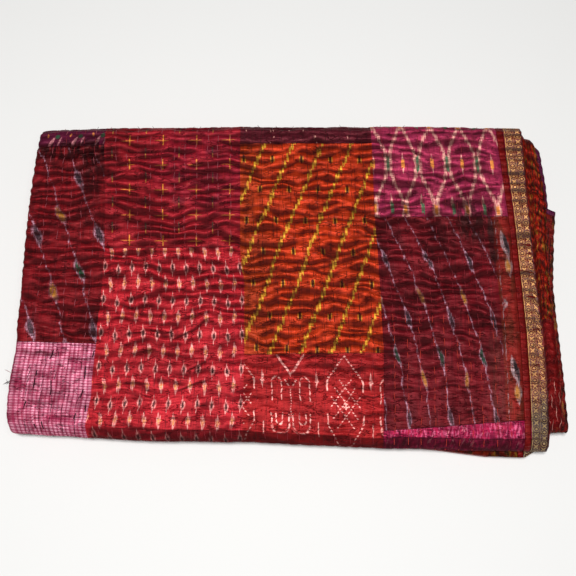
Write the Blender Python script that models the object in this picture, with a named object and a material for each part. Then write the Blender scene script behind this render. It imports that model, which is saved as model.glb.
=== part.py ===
"""Kantha quilt, folded in four along its length and in four across its width.

Metres, +Z up. The quilt lies flat with its long side along X. The bound short edge is at
+X on the top ply, the front fold is at -Y, and the origin is under the middle of the
footprint. The folded cloth is one solid. A red binding and a zari ribbon, both sewn along
the bound edge, are two more solids that follow the cloth round every fold.

A place on the cloth is given by two parameters. s runs along the quilt's length, through
the four plies of a packet, and t runs along its width, through the four packets. The whole
part of each is the row of its section below and the rest is the share of that row.
"""
import math
from collections import namedtuple

import bmesh
import bpy
import numpy as np

MM = 0.001

# The cloth and its layers.
PLY = 1.8 * MM                      # thickness of the stitched cloth
PLY_PITCH = 2.5 * MM                # from one ply to the next inside a packet
PACKET = 3 * PLY_PITCH + PLY        # thickness of a packet of four plies
PACKET_PITCH = PACKET + 1.2 * MM    # from one packet to the next
HALF_PLY = PLY / 2
HALF_PACKET = PACKET / 2

# The trim on the bound edge lies in a strip where the cloth is pressed thinner.
TRIM = 0.5 * MM                     # thickness of the binding and of the ribbon
CLEAR = 0.3 * MM                    # gap between sewn pieces
PRESSED = HALF_PLY - TRIM - CLEAR   # outer face of the cloth under the trim
PRESSED_STEP = 1.2 * MM             # width of the slope down to the pressed strip

# The raised ripples that the rows of running stitch draw up on the top ply.
RIPPLES = 29                        # rows of ripples from the back fold to the front fold
ROWS_PER_RIPPLE = 4
RIPPLE_HEIGHT = 1.4 * MM            # from valley to crest
RIPPLE_RISE = 0.5 * MM              # how far a crest stands above the flat cloth
RIPPLE_ROUND = 0.6                  # under 1 gives round crests and narrow valleys
RIPPLE_CALM = 1.5                   # ripples at either end over which the wander fades
UNEVEN, UNEVEN_LENGTH = 0.22, 170 * MM  # how much and over what length a ripple's height varies
UNEVEN_STEP = 0.37                  # share of that length from one ripple to the next
TRIM_RIPPLE = 0.35                  # share of the ripples' height that is left under the trim
TRIM_FADE = 25 * MM                 # width over which they sink to that share
RIPPLED_WRAP = 0.4                  # share of the left fold that the ripples reach round

# How the ripples wander: each wave moves them by size, in ripples, over a length in X and
# over a number of ripples across.
Wave = namedtuple("Wave", "size length ripples phase")
WANDER = [
    Wave(0.13, 230 * MM, 9.0, 0.0),
    Wave(0.10, 110 * MM, -5.3, 1.0),
]

# The stack is a little thicker in some places than in others.
SWELL = 0.018                       # share of the height
SWELL_LENGTH, SWELL_WIDTH = 410 * MM, 330 * MM
SWELL_PHASE = 0.6

# Rows of a section: a straight run of cloth at one level, or a half-round fold.
# faces is 1 where the cloth's outer side looks up (run) or away from the centre (fold).
# A run goes from start to end by way of the fixed places in through.
Run = namedtuple("Run", "start through end level faces stations")
Fold = namedtuple("Fold", "centre level half_width half_height side begins faces stations")

LEFT, RIGHT, BACK, FRONT = -1, 1, 1, -1
TOP, BOTTOM = 1, -1
OUT, IN = 1, -1


def even(count):
    """The starts of count equal shares of a row."""
    return [k / count for k in range(count)]


def middle(levels, upper, lower):
    """Height halfway between two layers."""
    return (levels[upper] + levels[lower]) / 2


# Plies of a packet, in X and in height over the packet's middle, from the bound edge on.
# All plies have stations at the same places in X, so that they stay parallel in the folds.
INWARD = [place * MM for place in (215.0, 160.0, 60.0, -40.0, -150.0, -225.0)]
FULL = [place * MM for place in (283.0, 273.0, 266.0, 255.0)] + INWARD
OUTWARD = FULL[::-1]
PLY_LEVEL = [(1.5 - k) * PLY_PITCH for k in range(4)]
PLIES = [
    Run("bound", [], "trim", PLY_LEVEL[0], OUT, [0.0]),
    Run("trim", [], "slope", PLY_LEVEL[0], OUT, [0.0]),
    Run("slope", INWARD, "left", PLY_LEVEL[0], OUT, even(7)),
    Fold("left", middle(PLY_LEVEL, 0, 3), 7.5 * MM, 1.5 * PLY_PITCH, LEFT, TOP, OUT, even(5)),
    Run("left", OUTWARD, "turned", PLY_LEVEL[3], IN, even(11)),
    Fold("turned", middle(PLY_LEVEL, 2, 3), 2.0 * MM, 0.5 * PLY_PITCH, RIGHT, BOTTOM, OUT, even(4)),
    Run("turned", FULL, "inner", PLY_LEVEL[2], OUT, even(11)),
    Fold("inner", middle(PLY_LEVEL, 1, 2), 1.5 * MM, 0.5 * PLY_PITCH, LEFT, BOTTOM, IN, even(3)),
    Run("inner", OUTWARD, "second", PLY_LEVEL[1], IN, even(11)),
]
S_TRIM_END, S_TOP_RUN, S_LEFT_WRAP = 1, 2, 3
NEAR = 1e-5                         # two places on the cloth closer than this are the same

# Packets, in Y and in height, from the free front edge of the lowest packet on. The
# stations of the top packet fall on whole ripples.
HALF_PITCH = PACKET_PITCH / 2
PACKET_LEVEL = [HALF_PACKET + (3 - k) * PACKET_PITCH for k in range(4)]
TOP_STATIONS = [k / RIPPLES for k in (0, 4, 7, 8, 10, 15, 19, 24)]
PACKETS = [
    Run("lowest", [], "back", PACKET_LEVEL[3], IN, even(3)),
    Fold("back", middle(PACKET_LEVEL, 0, 3), 9.0 * MM, 3 * HALF_PITCH, BACK, BOTTOM, OUT, even(5)),
    Run("back", [], "front", PACKET_LEVEL[0], OUT, TOP_STATIONS),
    Fold("front", middle(PACKET_LEVEL, 0, 1), 7.5 * MM, HALF_PITCH, FRONT, TOP, OUT, even(6)),
    Run("front", [], "inside", PACKET_LEVEL[1], IN, even(3)),
    Fold("inside", middle(PACKET_LEVEL, 1, 2), 5.2 * MM, HALF_PITCH, BACK, TOP, IN, even(3)),
    Run("inside", [], "third", PACKET_LEVEL[2], OUT, even(3)),
]
T_TOP_RUN = 2                       # row of PACKETS that shows from above


def top(ripple):
    """t at a whole ripple of the top packet."""
    return T_TOP_RUN + ripple / RIPPLES


# Where the plies end in X, in millimetres, at places t along the packets.
PlyEnds = namedtuple("PlyEnds", "t bound trim left second turned")
PLY_ENDS = [
    PlyEnds(0.0, 271.0, 247.0, -282.0, 285.0, 290.0),
    PlyEnds(1.0, 270.5, 246.0, -284.0, 284.0, 289.0),
    PlyEnds(top(0), 270.2, 245.6, -290.5, 284.0, 288.0),
    PlyEnds(top(4), 270.8, 246.4, -290.5, 292.0, 290.0),
    PlyEnds(top(7), 271.2, 246.9, -290.5, 293.5, 292.5),
    PlyEnds(top(8), 271.3, 247.1, -290.5, 292.5, 301.0),
    PlyEnds(top(10), 271.6, 247.4, -290.5, 291.5, 296.5),
    PlyEnds(top(15), 272.3, 248.1, -290.5, 291.0, 292.5),
    PlyEnds(top(19), 272.8, 248.6, -290.5, 292.0, 294.5),
    PlyEnds(top(24), 273.0, 249.1, -290.5, 292.5, 296.0),
    PlyEnds(top(29), 271.8, 249.4, -290.5, 292.0, 295.0),
    PlyEnds(4.0, 271.0, 248.5, -285.0, 288.0, 291.0),
    PlyEnds(5.0, 270.5, 247.5, -284.0, 284.0, 286.0),
    PlyEnds(6.0, 270.5, 247.0, -285.0, 284.0, 287.0),
    PlyEnds(7.0, 271.0, 247.0, -283.0, 286.0, 291.0),
]
INNER_INSET = 9.0 * MM              # the inner left fold lies this far inside the outer one

# Where the packets fold or end in Y, in millimetres, at places along X.
PacketEnds = namedtuple("PacketEnds", "x back front third lowest")
PACKET_ENDS = [
    PacketEnds(-300.0, 174.0, -149.0, -158.0, -154.0),
    PacketEnds(-225.0, 176.3, -156.0, -164.0, -161.0),
    PacketEnds(-150.0, 178.2, -160.3, -166.0, -164.0),
    PacketEnds(-40.0, 180.0, -161.5, -167.0, -166.0),
    PacketEnds(60.0, 180.0, -166.0, -172.0, -170.0),
    PacketEnds(160.0, 179.6, -168.5, -182.0, -176.0),
    PacketEnds(215.0, 178.5, -169.3, -190.0, -184.0),
    PacketEnds(255.0, 178.0, -169.4, -193.0, -187.0),
    PacketEnds(266.0, 177.8, -169.5, -185.0, -179.0),
    PacketEnds(273.0, 177.7, -169.5, -168.0, -165.0),
    PacketEnds(283.0, 168.0, -156.0, -158.0, -158.0),
    PacketEnds(292.0, 158.0, -154.0, -156.0, -157.0),
    PacketEnds(310.0, 157.0, -154.0, -155.0, -156.0),
]
INSIDE_INSET = 6.5 * MM             # the inner back fold lies this far inside the outer one

# How far the left edge leans, in millimetres, at places along Y.
Lean = namedtuple("Lean", "y shift")
LEFT_LEAN = [
    Lean(-175.0, 2.0),
    Lean(-158.0, -1.5),
    Lean(-143.0, -5.0),
    Lean(-125.0, -5.0),
    Lean(-104.0, -2.2),
    Lean(-70.0, 0.2),
    Lean(-42.0, -0.6),
    Lean(-15.0, 0.6),
    Lean(45.0, 0.6),
    Lean(95.0, 2.0),
    Lean(135.0, 4.0),
    Lean(165.0, 6.5),
    Lean(190.0, 8.5),
]
LEAN_FROM, LEAN_FULL = 100 * MM, -270 * MM  # X between which the lean grows to its full shift

# The sewn strips, as shares of the way across the trim.
BINDING_SPAN = (0.0, 0.27)
RIBBON_SPAN = (0.29, 1.0)

Finish = namedtuple("Finish", "colour roughness metallic")
FINISHES = {
    "silk_patchwork": Finish((0.30, 0.025, 0.035), 0.55, 0.0),
    "silk_binding": Finish((0.34, 0.015, 0.03), 0.50, 0.0),
    "zari_brocade": Finish((0.55, 0.33, 0.14), 0.45, 0.35),
}


def column(table, name):
    """One column of a table in millimetres, as metres."""
    return [getattr(row, name) * MM for row in table]


def ply_ends(t):
    """X of each named place in a packet at t."""
    places = [row.t for row in PLY_ENDS]
    ends = {name: float(np.interp(t, places, column(PLY_ENDS, name)))
            for name in ("bound", "trim", "left", "second", "turned")}
    ends["slope"] = ends["trim"] - PRESSED_STEP
    ends["inner"] = ends["left"] + INNER_INSET
    return ends


def packet_ends(x):
    """Y of each named place in the stack at x."""
    places = column(PACKET_ENDS, "x")
    ends = {name: float(np.interp(x, places, column(PACKET_ENDS, name)))
            for name in ("back", "front", "third", "lowest")}
    ends["inside"] = ends["back"] - INSIDE_INSET
    return ends


def section_point(rows, place, ends, offset):
    """Distance along and height of a point that lies offset outside a section's line."""
    index = min(int(place), len(rows) - 1)
    row, share = rows[index], place - index
    if isinstance(row, Run):
        knots = [ends[row.start], *row.through, ends[row.end]]
        along = float(np.interp(share * (len(knots) - 1), range(len(knots)), knots))
        return along, row.level + row.faces * offset
    turn = math.pi * share
    reach = row.faces * offset
    along = ends[row.centre] + row.side * (row.half_width + reach) * math.sin(turn)
    return along, row.level + row.begins * (row.half_height + reach) * math.cos(turn)


def smooth(share):
    share = min(max(share, 0.0), 1.0)
    return share * share * (3 - 2 * share)


def lean(x, y):
    """Sideways shift of the left part of the stack."""
    shift = float(np.interp(y, column(LEFT_LEAN, "y"), column(LEFT_LEAN, "shift")))
    return shift * smooth((LEAN_FROM - x) / (LEAN_FROM - LEAN_FULL))


def swell(x, y):
    """Share by which the stack is thicker or thinner at a place."""
    along = math.sin(math.tau * x / SWELL_LENGTH + SWELL_PHASE)
    return 1 + SWELL * along * math.cos(math.tau * y / SWELL_WIDTH)


def place_in_stack(x, height, t):
    """World place of a point that lies at x and at a height over its packet's middle."""
    y, z = section_point(PACKETS, t, packet_ends(x), height)
    return x + lean(x, y), y, z * swell(x, y)


def ripple_place(x, t):
    """t after the ripples' wander, so that rows of points follow the valleys."""
    ripple = (t - T_TOP_RUN) * RIPPLES
    calm = smooth(ripple / RIPPLE_CALM) * smooth((RIPPLES - ripple) / RIPPLE_CALM)
    wander = sum(wave.size * math.sin(math.tau * (x / wave.length + ripple / wave.ripples) + wave.phase)
                 for wave in WANDER)
    return t + calm * wander / RIPPLES


def ripple_height(x, t):
    """Height of the rippled face over the flat cloth, with t before the wander."""
    ripple = (t - T_TOP_RUN) * RIPPLES
    if not 0 < ripple < RIPPLES:
        return 0.0
    unevenness = math.sin(math.tau * (x / UNEVEN_LENGTH + UNEVEN_STEP * math.floor(ripple)))
    strength = 1 - UNEVEN + UNEVEN * unevenness
    strength *= 1 - (1 - TRIM_RIPPLE) * smooth((x - ply_ends(t)["slope"]) / TRIM_FADE + 1)
    crest = abs(math.sin(math.pi * ripple)) ** RIPPLE_ROUND
    return strength * (RIPPLE_RISE - RIPPLE_HEIGHT * (1 - crest))


def ripples_fade(s):
    """Share of the ripples' height at s: all of it on the run, none under the left fold."""
    return 1 - smooth((s - S_LEFT_WRAP) / RIPPLED_WRAP)


def trim_x(t):
    """X where the trim begins; the ripples run straight from there to the bound edge."""
    return ply_ends(t)["slope"]


def cloth_point(s, t, outer):
    """World place of a point on the cloth's outer or inner face."""
    on_top_run = T_TOP_RUN < t < T_TOP_RUN + 1
    if not outer:
        x, height = section_point(PLIES, s, ply_ends(t), -HALF_PLY)
        in_trim = s < S_TRIM_END + NEAR
        return place_in_stack(x, height, ripple_place(trim_x(t), t) if in_trim and on_top_run else t)
    offset = PRESSED + (HALF_PLY - PRESSED) * smooth(s - S_TRIM_END)
    if on_top_run and s < S_LEFT_WRAP + RIPPLED_WRAP + NEAR:
        flat_x = min(section_point(PLIES, s, ply_ends(t), 0.0)[0], trim_x(t))
        offset += ripple_height(flat_x, t) * ripples_fade(s)
        t = ripple_place(flat_x, t)
    x, height = section_point(PLIES, s, ply_ends(t), offset)
    return place_in_stack(x, height, t)


def strip_point(span, across, t, outer):
    """World place of a point on a sewn strip, across its width from 0 to 1."""
    offset = HALF_PLY if outer else PRESSED + CLEAR
    if T_TOP_RUN < t < T_TOP_RUN + 1:
        offset += ripple_height(trim_x(t), t)
        t = ripple_place(trim_x(t), t)
    ends = ply_ends(t)
    share = span[0] + across * (span[1] - span[0])
    x = ends["trim"] + CLEAR + share * (ends["bound"] - ends["trim"] - CLEAR)
    return place_in_stack(x, PLY_LEVEL[0] + offset, t)


def stations(rows):
    """Every station of a section, row by row, and its end."""
    return [index + share for index, row in enumerate(rows) for share in row.stations] + [len(rows)]


def slab(columns, rows):
    """A closed slab over a grid whose X is a column, Y a row and Z 0 inside or 1 outside."""
    bm = bmesh.new()
    bmesh.ops.create_grid(bm, x_segments=len(columns) - 1, y_segments=len(rows) - 1, size=0.5)
    for vert in bm.verts:
        column_index = round((vert.co.x + 0.5) * (len(columns) - 1))
        row_index = round((vert.co.y + 0.5) * (len(rows) - 1))
        vert.co = (columns[column_index], rows[row_index], 0.0)
    raised = bmesh.ops.extrude_face_region(bm, geom=bm.faces[:])["geom"]
    for vert in (item for item in raised if isinstance(item, bmesh.types.BMVert)):
        vert.co.z = 1.0
    return bm


def cut(bm, axis, low, high, cuts, chosen):
    """Divide the chosen edges that run along an axis, 0 for s or 1 for t, from low to high."""
    edges = []
    for edge in bm.edges:
        first, second = sorted((vert.co for vert in edge.verts), key=lambda place: place[axis])
        runs_along = abs(first[1 - axis] - second[1 - axis]) < NEAR < second[axis] - first[axis]
        if runs_along and low - NEAR < first[axis] and second[axis] < high + NEAR and chosen(first):
            edges.append(edge)
    bmesh.ops.subdivide_edges(bm, edges=edges, cuts=cuts, use_single_edge=True)


def finish_object(name, bm, finish_name, collection):
    """Turn a bmesh into a named object with its own material."""
    bmesh.ops.triangulate(bm, faces=[face for face in bm.faces if len(face.verts) > 4])
    bmesh.ops.recalc_face_normals(bm, faces=bm.faces[:])
    mesh = bpy.data.meshes.new(name)
    bm.to_mesh(mesh)
    bm.free()
    mesh.shade_smooth()
    obj = bpy.data.objects.new(name, mesh)
    collection.objects.link(obj)
    material = bpy.data.materials.new(finish_name)
    material.use_nodes = True
    finish = FINISHES[finish_name]
    shader = material.node_tree.nodes["Principled BSDF"]
    shader.inputs["Base Color"].default_value = (*finish.colour, 1.0)
    shader.inputs["Roughness"].default_value = finish.roughness
    shader.inputs["Metallic"].default_value = finish.metallic
    mesh.materials.append(material)
    return obj


def make_quilt(collection):
    """The whole folded cloth, with its ripples raised on the top ply."""
    bm = slab(stations(PLIES), stations(PACKETS))

    def top_face(place):
        return place.z > 0.5 and T_TOP_RUN - NEAR < place.y < T_TOP_RUN + 1 + NEAR

    def rippled(place):
        reach = S_LEFT_WRAP + RIPPLED_WRAP if place.z > 0.5 else S_TRIM_END
        return place.x < reach + NEAR

    cut(bm, 0, S_TOP_RUN, S_TOP_RUN + 1, 1, top_face)
    ends = TOP_STATIONS + [1.0]
    for low, high in zip(ends, ends[1:]):
        pieces = round((high - low) * RIPPLES) * ROWS_PER_RIPPLE
        cut(bm, 1, T_TOP_RUN + low, T_TOP_RUN + high, pieces - 1, rippled)
    for vert in bm.verts:
        vert.co = cloth_point(vert.co.x, vert.co.y, vert.co.z > 0.5)
    return finish_object("quilt", bm, "silk_patchwork", collection)


def make_strip(name, span, finish_name, collection):
    """A strip of trim that follows the bound edge round every fold."""
    fine = RIPPLES * ROWS_PER_RIPPLE
    rippled = [T_TOP_RUN + share for share in even(fine)]
    rows = sorted({round(place, 6) for place in stations(PACKETS) + rippled})
    bm = slab([0.0, 1.0], rows)
    for vert in bm.verts:
        vert.co = strip_point(span, vert.co.x, vert.co.y, vert.co.z > 0.5)
    return finish_object(name, bm, finish_name, collection)


def main():
    for obj in list(bpy.data.objects):
        bpy.data.objects.remove(obj)
    collection = bpy.data.collections.new("kantha_quilt")
    bpy.context.scene.collection.children.link(collection)
    make_quilt(collection)
    make_strip("binding", BINDING_SPAN, "silk_binding", collection)
    make_strip("zari_ribbon", RIBBON_SPAN, "zari_brocade", collection)


main()
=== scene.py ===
"""Kantha quilt: the finished cloth, its trim, its stitches and a plain studio round the folded frame.

Metres, +Z up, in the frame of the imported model. A place on the cloth is given by two
parameters. s runs along the quilt's length, through the four plies of a packet, and t runs
along its width, through the four packets. Patterns are drawn in millimetres on the UV map
"cloth", whose first coordinate runs along the quilt's length, to the right on the top ply,
and whose second runs along its width, to the front.
"""
import math
import random
from collections import namedtuple
from functools import partialmethod

import bmesh
import bpy
import numpy as np
from mathutils import Color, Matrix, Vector, noise


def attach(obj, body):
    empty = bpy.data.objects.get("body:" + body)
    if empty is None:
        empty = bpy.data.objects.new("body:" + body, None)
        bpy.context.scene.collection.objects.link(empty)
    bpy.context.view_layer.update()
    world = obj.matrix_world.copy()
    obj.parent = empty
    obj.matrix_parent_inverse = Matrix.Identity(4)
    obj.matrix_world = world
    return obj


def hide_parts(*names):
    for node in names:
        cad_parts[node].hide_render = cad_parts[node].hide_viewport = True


bl_info = {
    "name": "Kantha quilt",
    "version": (1, 0, 0),
    "blender": (4, 5, 0),
    "location": "3D View > Sidebar > Quilt",
    "description": "Folds, sews and lights a patchwork kantha quilt round its packed frame",
    "category": "Object",
}

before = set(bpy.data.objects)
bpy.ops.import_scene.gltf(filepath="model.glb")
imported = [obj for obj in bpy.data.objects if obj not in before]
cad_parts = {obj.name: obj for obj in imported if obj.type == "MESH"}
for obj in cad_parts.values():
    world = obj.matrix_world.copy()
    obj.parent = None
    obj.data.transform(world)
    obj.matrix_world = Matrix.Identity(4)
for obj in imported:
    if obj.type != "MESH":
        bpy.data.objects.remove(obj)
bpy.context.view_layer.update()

MM = 0.001


def table(columns, *rows):
    """Rows of a table whose columns have names."""
    row_kind = namedtuple("Row", columns)
    return [row_kind(*row) for row in rows]


def paint(code):
    """Linear red, green and blue of a six-digit colour code."""
    parts = [int(code[k:k + 2], 16) / 255 for k in (0, 2, 4)]
    return tuple(((p + 0.055) / 1.055) ** 2.4 if p > 0.04045 else p / 12.92 for p in parts)


def size_value(name, description, default):
    return bpy.props.FloatProperty(name=name, description=description, default=default,
                                   min=0.0, unit="LENGTH", precision=5)


def share_value(name, description, default):
    return bpy.props.FloatProperty(name=name, description=description, default=default,
                                   min=0.0, max=4.0, subtype="FACTOR")


def angle_value(name, description, default):
    return bpy.props.FloatProperty(name=name, description=description,
                                   default=math.radians(default), subtype="ANGLE")


def colour_value(name, description, code):
    return bpy.props.FloatVectorProperty(name=name, description=description, default=paint(code),
                                         size=3, min=0.0, max=1.0, subtype="COLOR")


class QuiltSizes(bpy.types.PropertyGroup):
    """Sizes of the cloth's relief and of its threads."""
    crest: size_value("Crest", "How far a ripple's crest stands above the flat cloth", 1.35 * MM)
    valley: size_value("Valley", "How deep the valley between two ripples is under the crest", 2.7 * MM)
    pinch: size_value("Pinch", "How far a row of stitches pulls a crest down", 0.55 * MM)
    crease: size_value("Crease", "Height of the small creases between the ripples", 0.50 * MM)
    seam: size_value("Seam", "How far the turned-in edges of two patches stand up", 0.30 * MM)
    stitch_length: size_value("Stitch length", "Length of a running stitch", 9.2 * MM)
    stitch_radius: size_value("Stitch radius", "Radius of the running thread", 0.30 * MM)
    hair_radius: size_value("Hair radius", "Radius of a loose thread end", 0.26 * MM)


class PatchColours(bpy.types.PropertyGroup):
    """Ground and mark colours of the silks."""
    maroon: colour_value("Maroon", "Ground of the left-hand ikat patch", "741118")
    check: colour_value("Check pink", "Bands of the fine check", "c06280")
    check_ground: colour_value("Check ground", "Ground of the fine check", "7c1c38")
    crimson: colour_value("Crimson", "Ground of the patch with crosses", "85161f")
    scarlet: colour_value("Scarlet", "Ground of the patch with rings", "9b1923")
    plum: colour_value("Plum", "Ground of the narrow plum patches", "4d131e")
    orange: colour_value("Orange", "Ground of the patch with yellow diagonals", "ae3010")
    brick: colour_value("Brick", "Ground of the patch with dotted outlines", "8c1618")
    magenta: colour_value("Magenta", "Ground of the lattice patch", "982a4a")
    wine: colour_value("Wine", "Ground of the large ikat patch", "650f18")
    rust: colour_value("Rust", "Ground of the narrow strip by the binding", "761a16")
    fuchsia: colour_value("Fuchsia", "Ground of the flame patch", "9a1440")
    binding: colour_value("Binding", "The plain red binding", "680a0a")
    zari: colour_value("Zari", "Metal thread of the ribbon", "fcba74")
    ribbon: colour_value("Ribbon ground", "Silk ground of the ribbon", "68100a")


class StageSettings(bpy.types.PropertyGroup):
    """The floor, the lights and the camera."""
    floor: colour_value("Floor", "Colour of the plain floor", "dededd")
    key: bpy.props.FloatProperty(name="Key light", description="Power of the key light",
                                 default=42.0, min=0.0, unit="POWER")
    fill: bpy.props.FloatProperty(name="Fill light", description="Power of the fill light",
                                  default=10.0, min=0.0, unit="POWER")
    sky: share_value("Sky", "Strength of the even light from all round", 0.11)
    tilt: angle_value("Camera tilt", "Angle between the camera's axis and the vertical", 15.1)


# The cloth and its layers, as in the frame.
PLY = 1.8 * MM
PLY_PITCH = 2.5 * MM
PACKET = 3 * PLY_PITCH + PLY
PACKET_PITCH = PACKET + 1.2 * MM
HALF_PLY = PLY / 2
HALF_PACKET = PACKET / 2
HALF_PITCH = PACKET_PITCH / 2
TRIM = 0.5 * MM
CLEAR = 0.3 * MM                    # room between the cloth and the trim
PRESSED = HALF_PLY - TRIM - CLEAR   # height of the cloth under the trim over its ply's middle
PRESSED_STEP = 1.2 * MM
FRONT_SHARP = 1.35                  # 1 is an elliptical fold, more has a corner over and under it
LEFT_SHARP = 0.60                   # less is nearer to a square fold
THINNEST = 0.35 * MM                # cloth left at the bottom of a valley
DEEP = 2.2 * MM                     # depth under the crests at which the painted valley shade is darkest

RIPPLES = 29
ROWS_PER_RIPPLE = 10
RIPPLE_ROUND = 1.45                 # more is a narrower crest
RIPPLE_PEAK = 0.60                  # place of the crest between two valleys
RIPPLE_CALM = 1.5                   # ripples at the back and front edges that don't wander
TRIM_RIPPLE, TRIM_FADE = 0.40, 25 * MM          # share of the ripples left at the trim, fading beside it
RIBBON_GATHER, GATHER_START = 0.8, 5 * MM
CREASE_HALF, CREASE_DEPTH = 1.2, 1.2 * MM       # half width in millimetres, and depth
STITCH_HOLD, SEAM_HOLD = 1.9 * MM, 1.3 * MM     # how far off a row or a seam still shapes the cloth
# The painted shade on the front fold: how dark it is, how dark at the left end, and the X from which it rises
# to full.
FRONT_DARK, FRONT_DARK_LEFT, FRONT_DARK_FROM = 0.62, 0.10, -216 * MM
# Where the painted shade on the front fold begins further round it: a start in X, the length over
# which this comes on, and by how much of the fold.
LATE_FRONT = [(-70 * MM, 40 * MM, 0.050), (50 * MM, 20 * MM, 0.035)]
LATE_FRONT_END = 112 * MM
# The end of the second ply that shows beside the trim.
BARE_FROM, BARE_MIDDLE = 273 * MM, 282 * MM
BARE_VALLEY, BARE_CREST = 1.7 * MM, 0.6 * MM
WRAP_FADE = 0.75                    # share of the left fold over which the ripples fade

# How the valleys wander from straight rows, in ripples.
Wave = namedtuple("Wave", "size length ripples phase")
WANDER = [Wave(0.13, 230 * MM, 9.0, 0.0), Wave(0.10, 110 * MM, -5.3, 1.0)]
# How much the stack's thickness varies: in long swells, and in dents.
SWELL, SWELL_LENGTH, SWELL_WIDTH, SWELL_PHASE = 0.018, 410 * MM, 330 * MM, 0.6
DENTS = 0.02

Run = namedtuple("Run", "start through end level faces stations")
Fold = namedtuple("Fold", "centre level half_width half_height side begins faces stations sharp",
                  defaults=(1.0,))
LEFT, RIGHT, BACK, FRONT = -1, 1, 1, -1
TOP, BOTTOM = 1, -1
OUT, IN = 1, -1

# The seams of the top ply and the rows of running stitch between them, from the binding to
# the left fold, as nominal places in X.
SEAM_NAMES = ["slope", "right_seam", "middle_seam", "left_seam", "left"]
SEAM_PLACES = [247.2 * MM, 98.5 * MM, -53.5 * MM, -212.0 * MM, -290.5 * MM]
STITCH_PITCH = 13.0 * MM
COLUMNS_PER_STITCH = 4


def even(count):
    """The starts of count equal shares of a row."""
    return [k / count for k in range(count)]


def stitch_columns():
    """Nominal places in X of the stitch rows, and of every column of the top ply."""
    roll = random.Random(11)
    rows, columns = [], [SEAM_PLACES[0]]
    for start, end in zip(SEAM_PLACES, SEAM_PLACES[1:]):
        count = round(abs(end - start) / STITCH_PITCH)
        for k in range(1, count):
            place = start + (end - start) * (k + roll.uniform(-0.16, 0.16)) / count
            rows.append(place)
            columns.append(place)
        columns.append(end)
    return rows, columns


STITCH_ROWS, TOP_COLUMNS = stitch_columns()

INWARD = [place * MM for place in (215.0, 160.0, 60.0, -40.0, -150.0, -225.0)]
FULL = [place * MM for place in (280.0, 277.0, 271.0, 262.0)] + INWARD
OUTWARD = FULL[::-1]
PLY_LEVEL = [(1.5 - k) * PLY_PITCH for k in range(4)]
OUTER_MIDDLE = (PLY_LEVEL[0] + PLY_LEVEL[3]) / 2
TURNED_MIDDLE = (PLY_LEVEL[2] + PLY_LEVEL[3]) / 2
INNER_MIDDLE = (PLY_LEVEL[1] + PLY_LEVEL[2]) / 2
PLIES = [
    Run("bound", [], "trim", PLY_LEVEL[0], OUT, [0.0]),
    Run("trim", [], "slope", PLY_LEVEL[0], OUT, [0.0]),
    Run("slope", TOP_COLUMNS[1:-1], "left", PLY_LEVEL[0], OUT, even(len(TOP_COLUMNS) - 1)),
    Fold("left", OUTER_MIDDLE, 7.5 * MM, 1.5 * PLY_PITCH, LEFT, TOP, OUT, even(9), LEFT_SHARP),
    Run("left", OUTWARD, "turned", PLY_LEVEL[3], IN, even(11)),
    Fold("turned", TURNED_MIDDLE, 2.0 * MM, 0.5 * PLY_PITCH, RIGHT, BOTTOM, OUT, even(6)),
    Run("turned", FULL, "inner", PLY_LEVEL[2], OUT, even(11)),
    Fold("inner", INNER_MIDDLE, 1.5 * MM, 0.5 * PLY_PITCH, LEFT, BOTTOM, IN, even(3)),
    Run("inner", OUTWARD, "second", PLY_LEVEL[1], IN, even(11)),
]
S_TRIM_END, S_TOP_RUN, S_LEFT_FOLD, S_FOURTH, S_TURNED, S_THIRD, S_SECOND = 1, 2, 3, 4, 5, 6, 8
NEAR = 1e-5

PACKET_LEVEL = [HALF_PACKET + (3 - k) * PACKET_PITCH for k in range(4)]
BACK_MIDDLE = (PACKET_LEVEL[0] + PACKET_LEVEL[3]) / 2
FRONT_MIDDLE = (PACKET_LEVEL[0] + PACKET_LEVEL[1]) / 2
INSIDE_MIDDLE = (PACKET_LEVEL[1] + PACKET_LEVEL[2]) / 2
LOWER_ROWS = 10
PACKETS = [
    Run("lowest", [], "back", PACKET_LEVEL[3], IN, even(LOWER_ROWS)),
    Fold("back", BACK_MIDDLE, 9.0 * MM, 3 * HALF_PITCH, BACK, BOTTOM, OUT, even(6)),
    Run("back", [], "front", PACKET_LEVEL[0], OUT, even(RIPPLES)),
    Fold("front", FRONT_MIDDLE, 7.5 * MM, HALF_PITCH, FRONT, TOP, OUT, even(6), FRONT_SHARP),
    Run("front", [], "inside", PACKET_LEVEL[1], IN, even(LOWER_ROWS)),
    Fold("inside", INSIDE_MIDDLE, 5.2 * MM, HALF_PITCH, BACK, TOP, IN, even(3)),
    Run("inside", [], "third", PACKET_LEVEL[2], OUT, even(LOWER_ROWS)),
]
T_BACK_FOLD, T_TOP_RUN, T_FRONT_FOLD, T_SECOND, T_INSIDE, T_THIRD = 1, 2, 3, 4, 5, 6

# Length of cloth in each row of a section, for the UV map. The places in V start at the
# back edge of the top packet, and those in U at the middle of the top ply.
V_LENGTHS = [340 * MM, 54.5 * MM, 348.5 * MM, 34.8 * MM, 340 * MM, 3 * MM, 345 * MM]
V_STARTS = [sum(V_LENGTHS[:k]) - V_LENGTHS[0] - V_LENGTHS[1] for k in range(8)]
RIPPLE_PITCH = V_LENGTHS[T_TOP_RUN] / RIPPLES
U_LENGTHS = [23 * MM, 1.2 * MM, 537.7 * MM, 21 * MM, 575 * MM, 8 * MM, 572 * MM, 5 * MM, 570 * MM]
U_START = 271.4 * MM


def top(ripple):
    """t at a place on the top packet, counted in ripples from its back edge."""
    return T_TOP_RUN + ripple / RIPPLES


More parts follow.
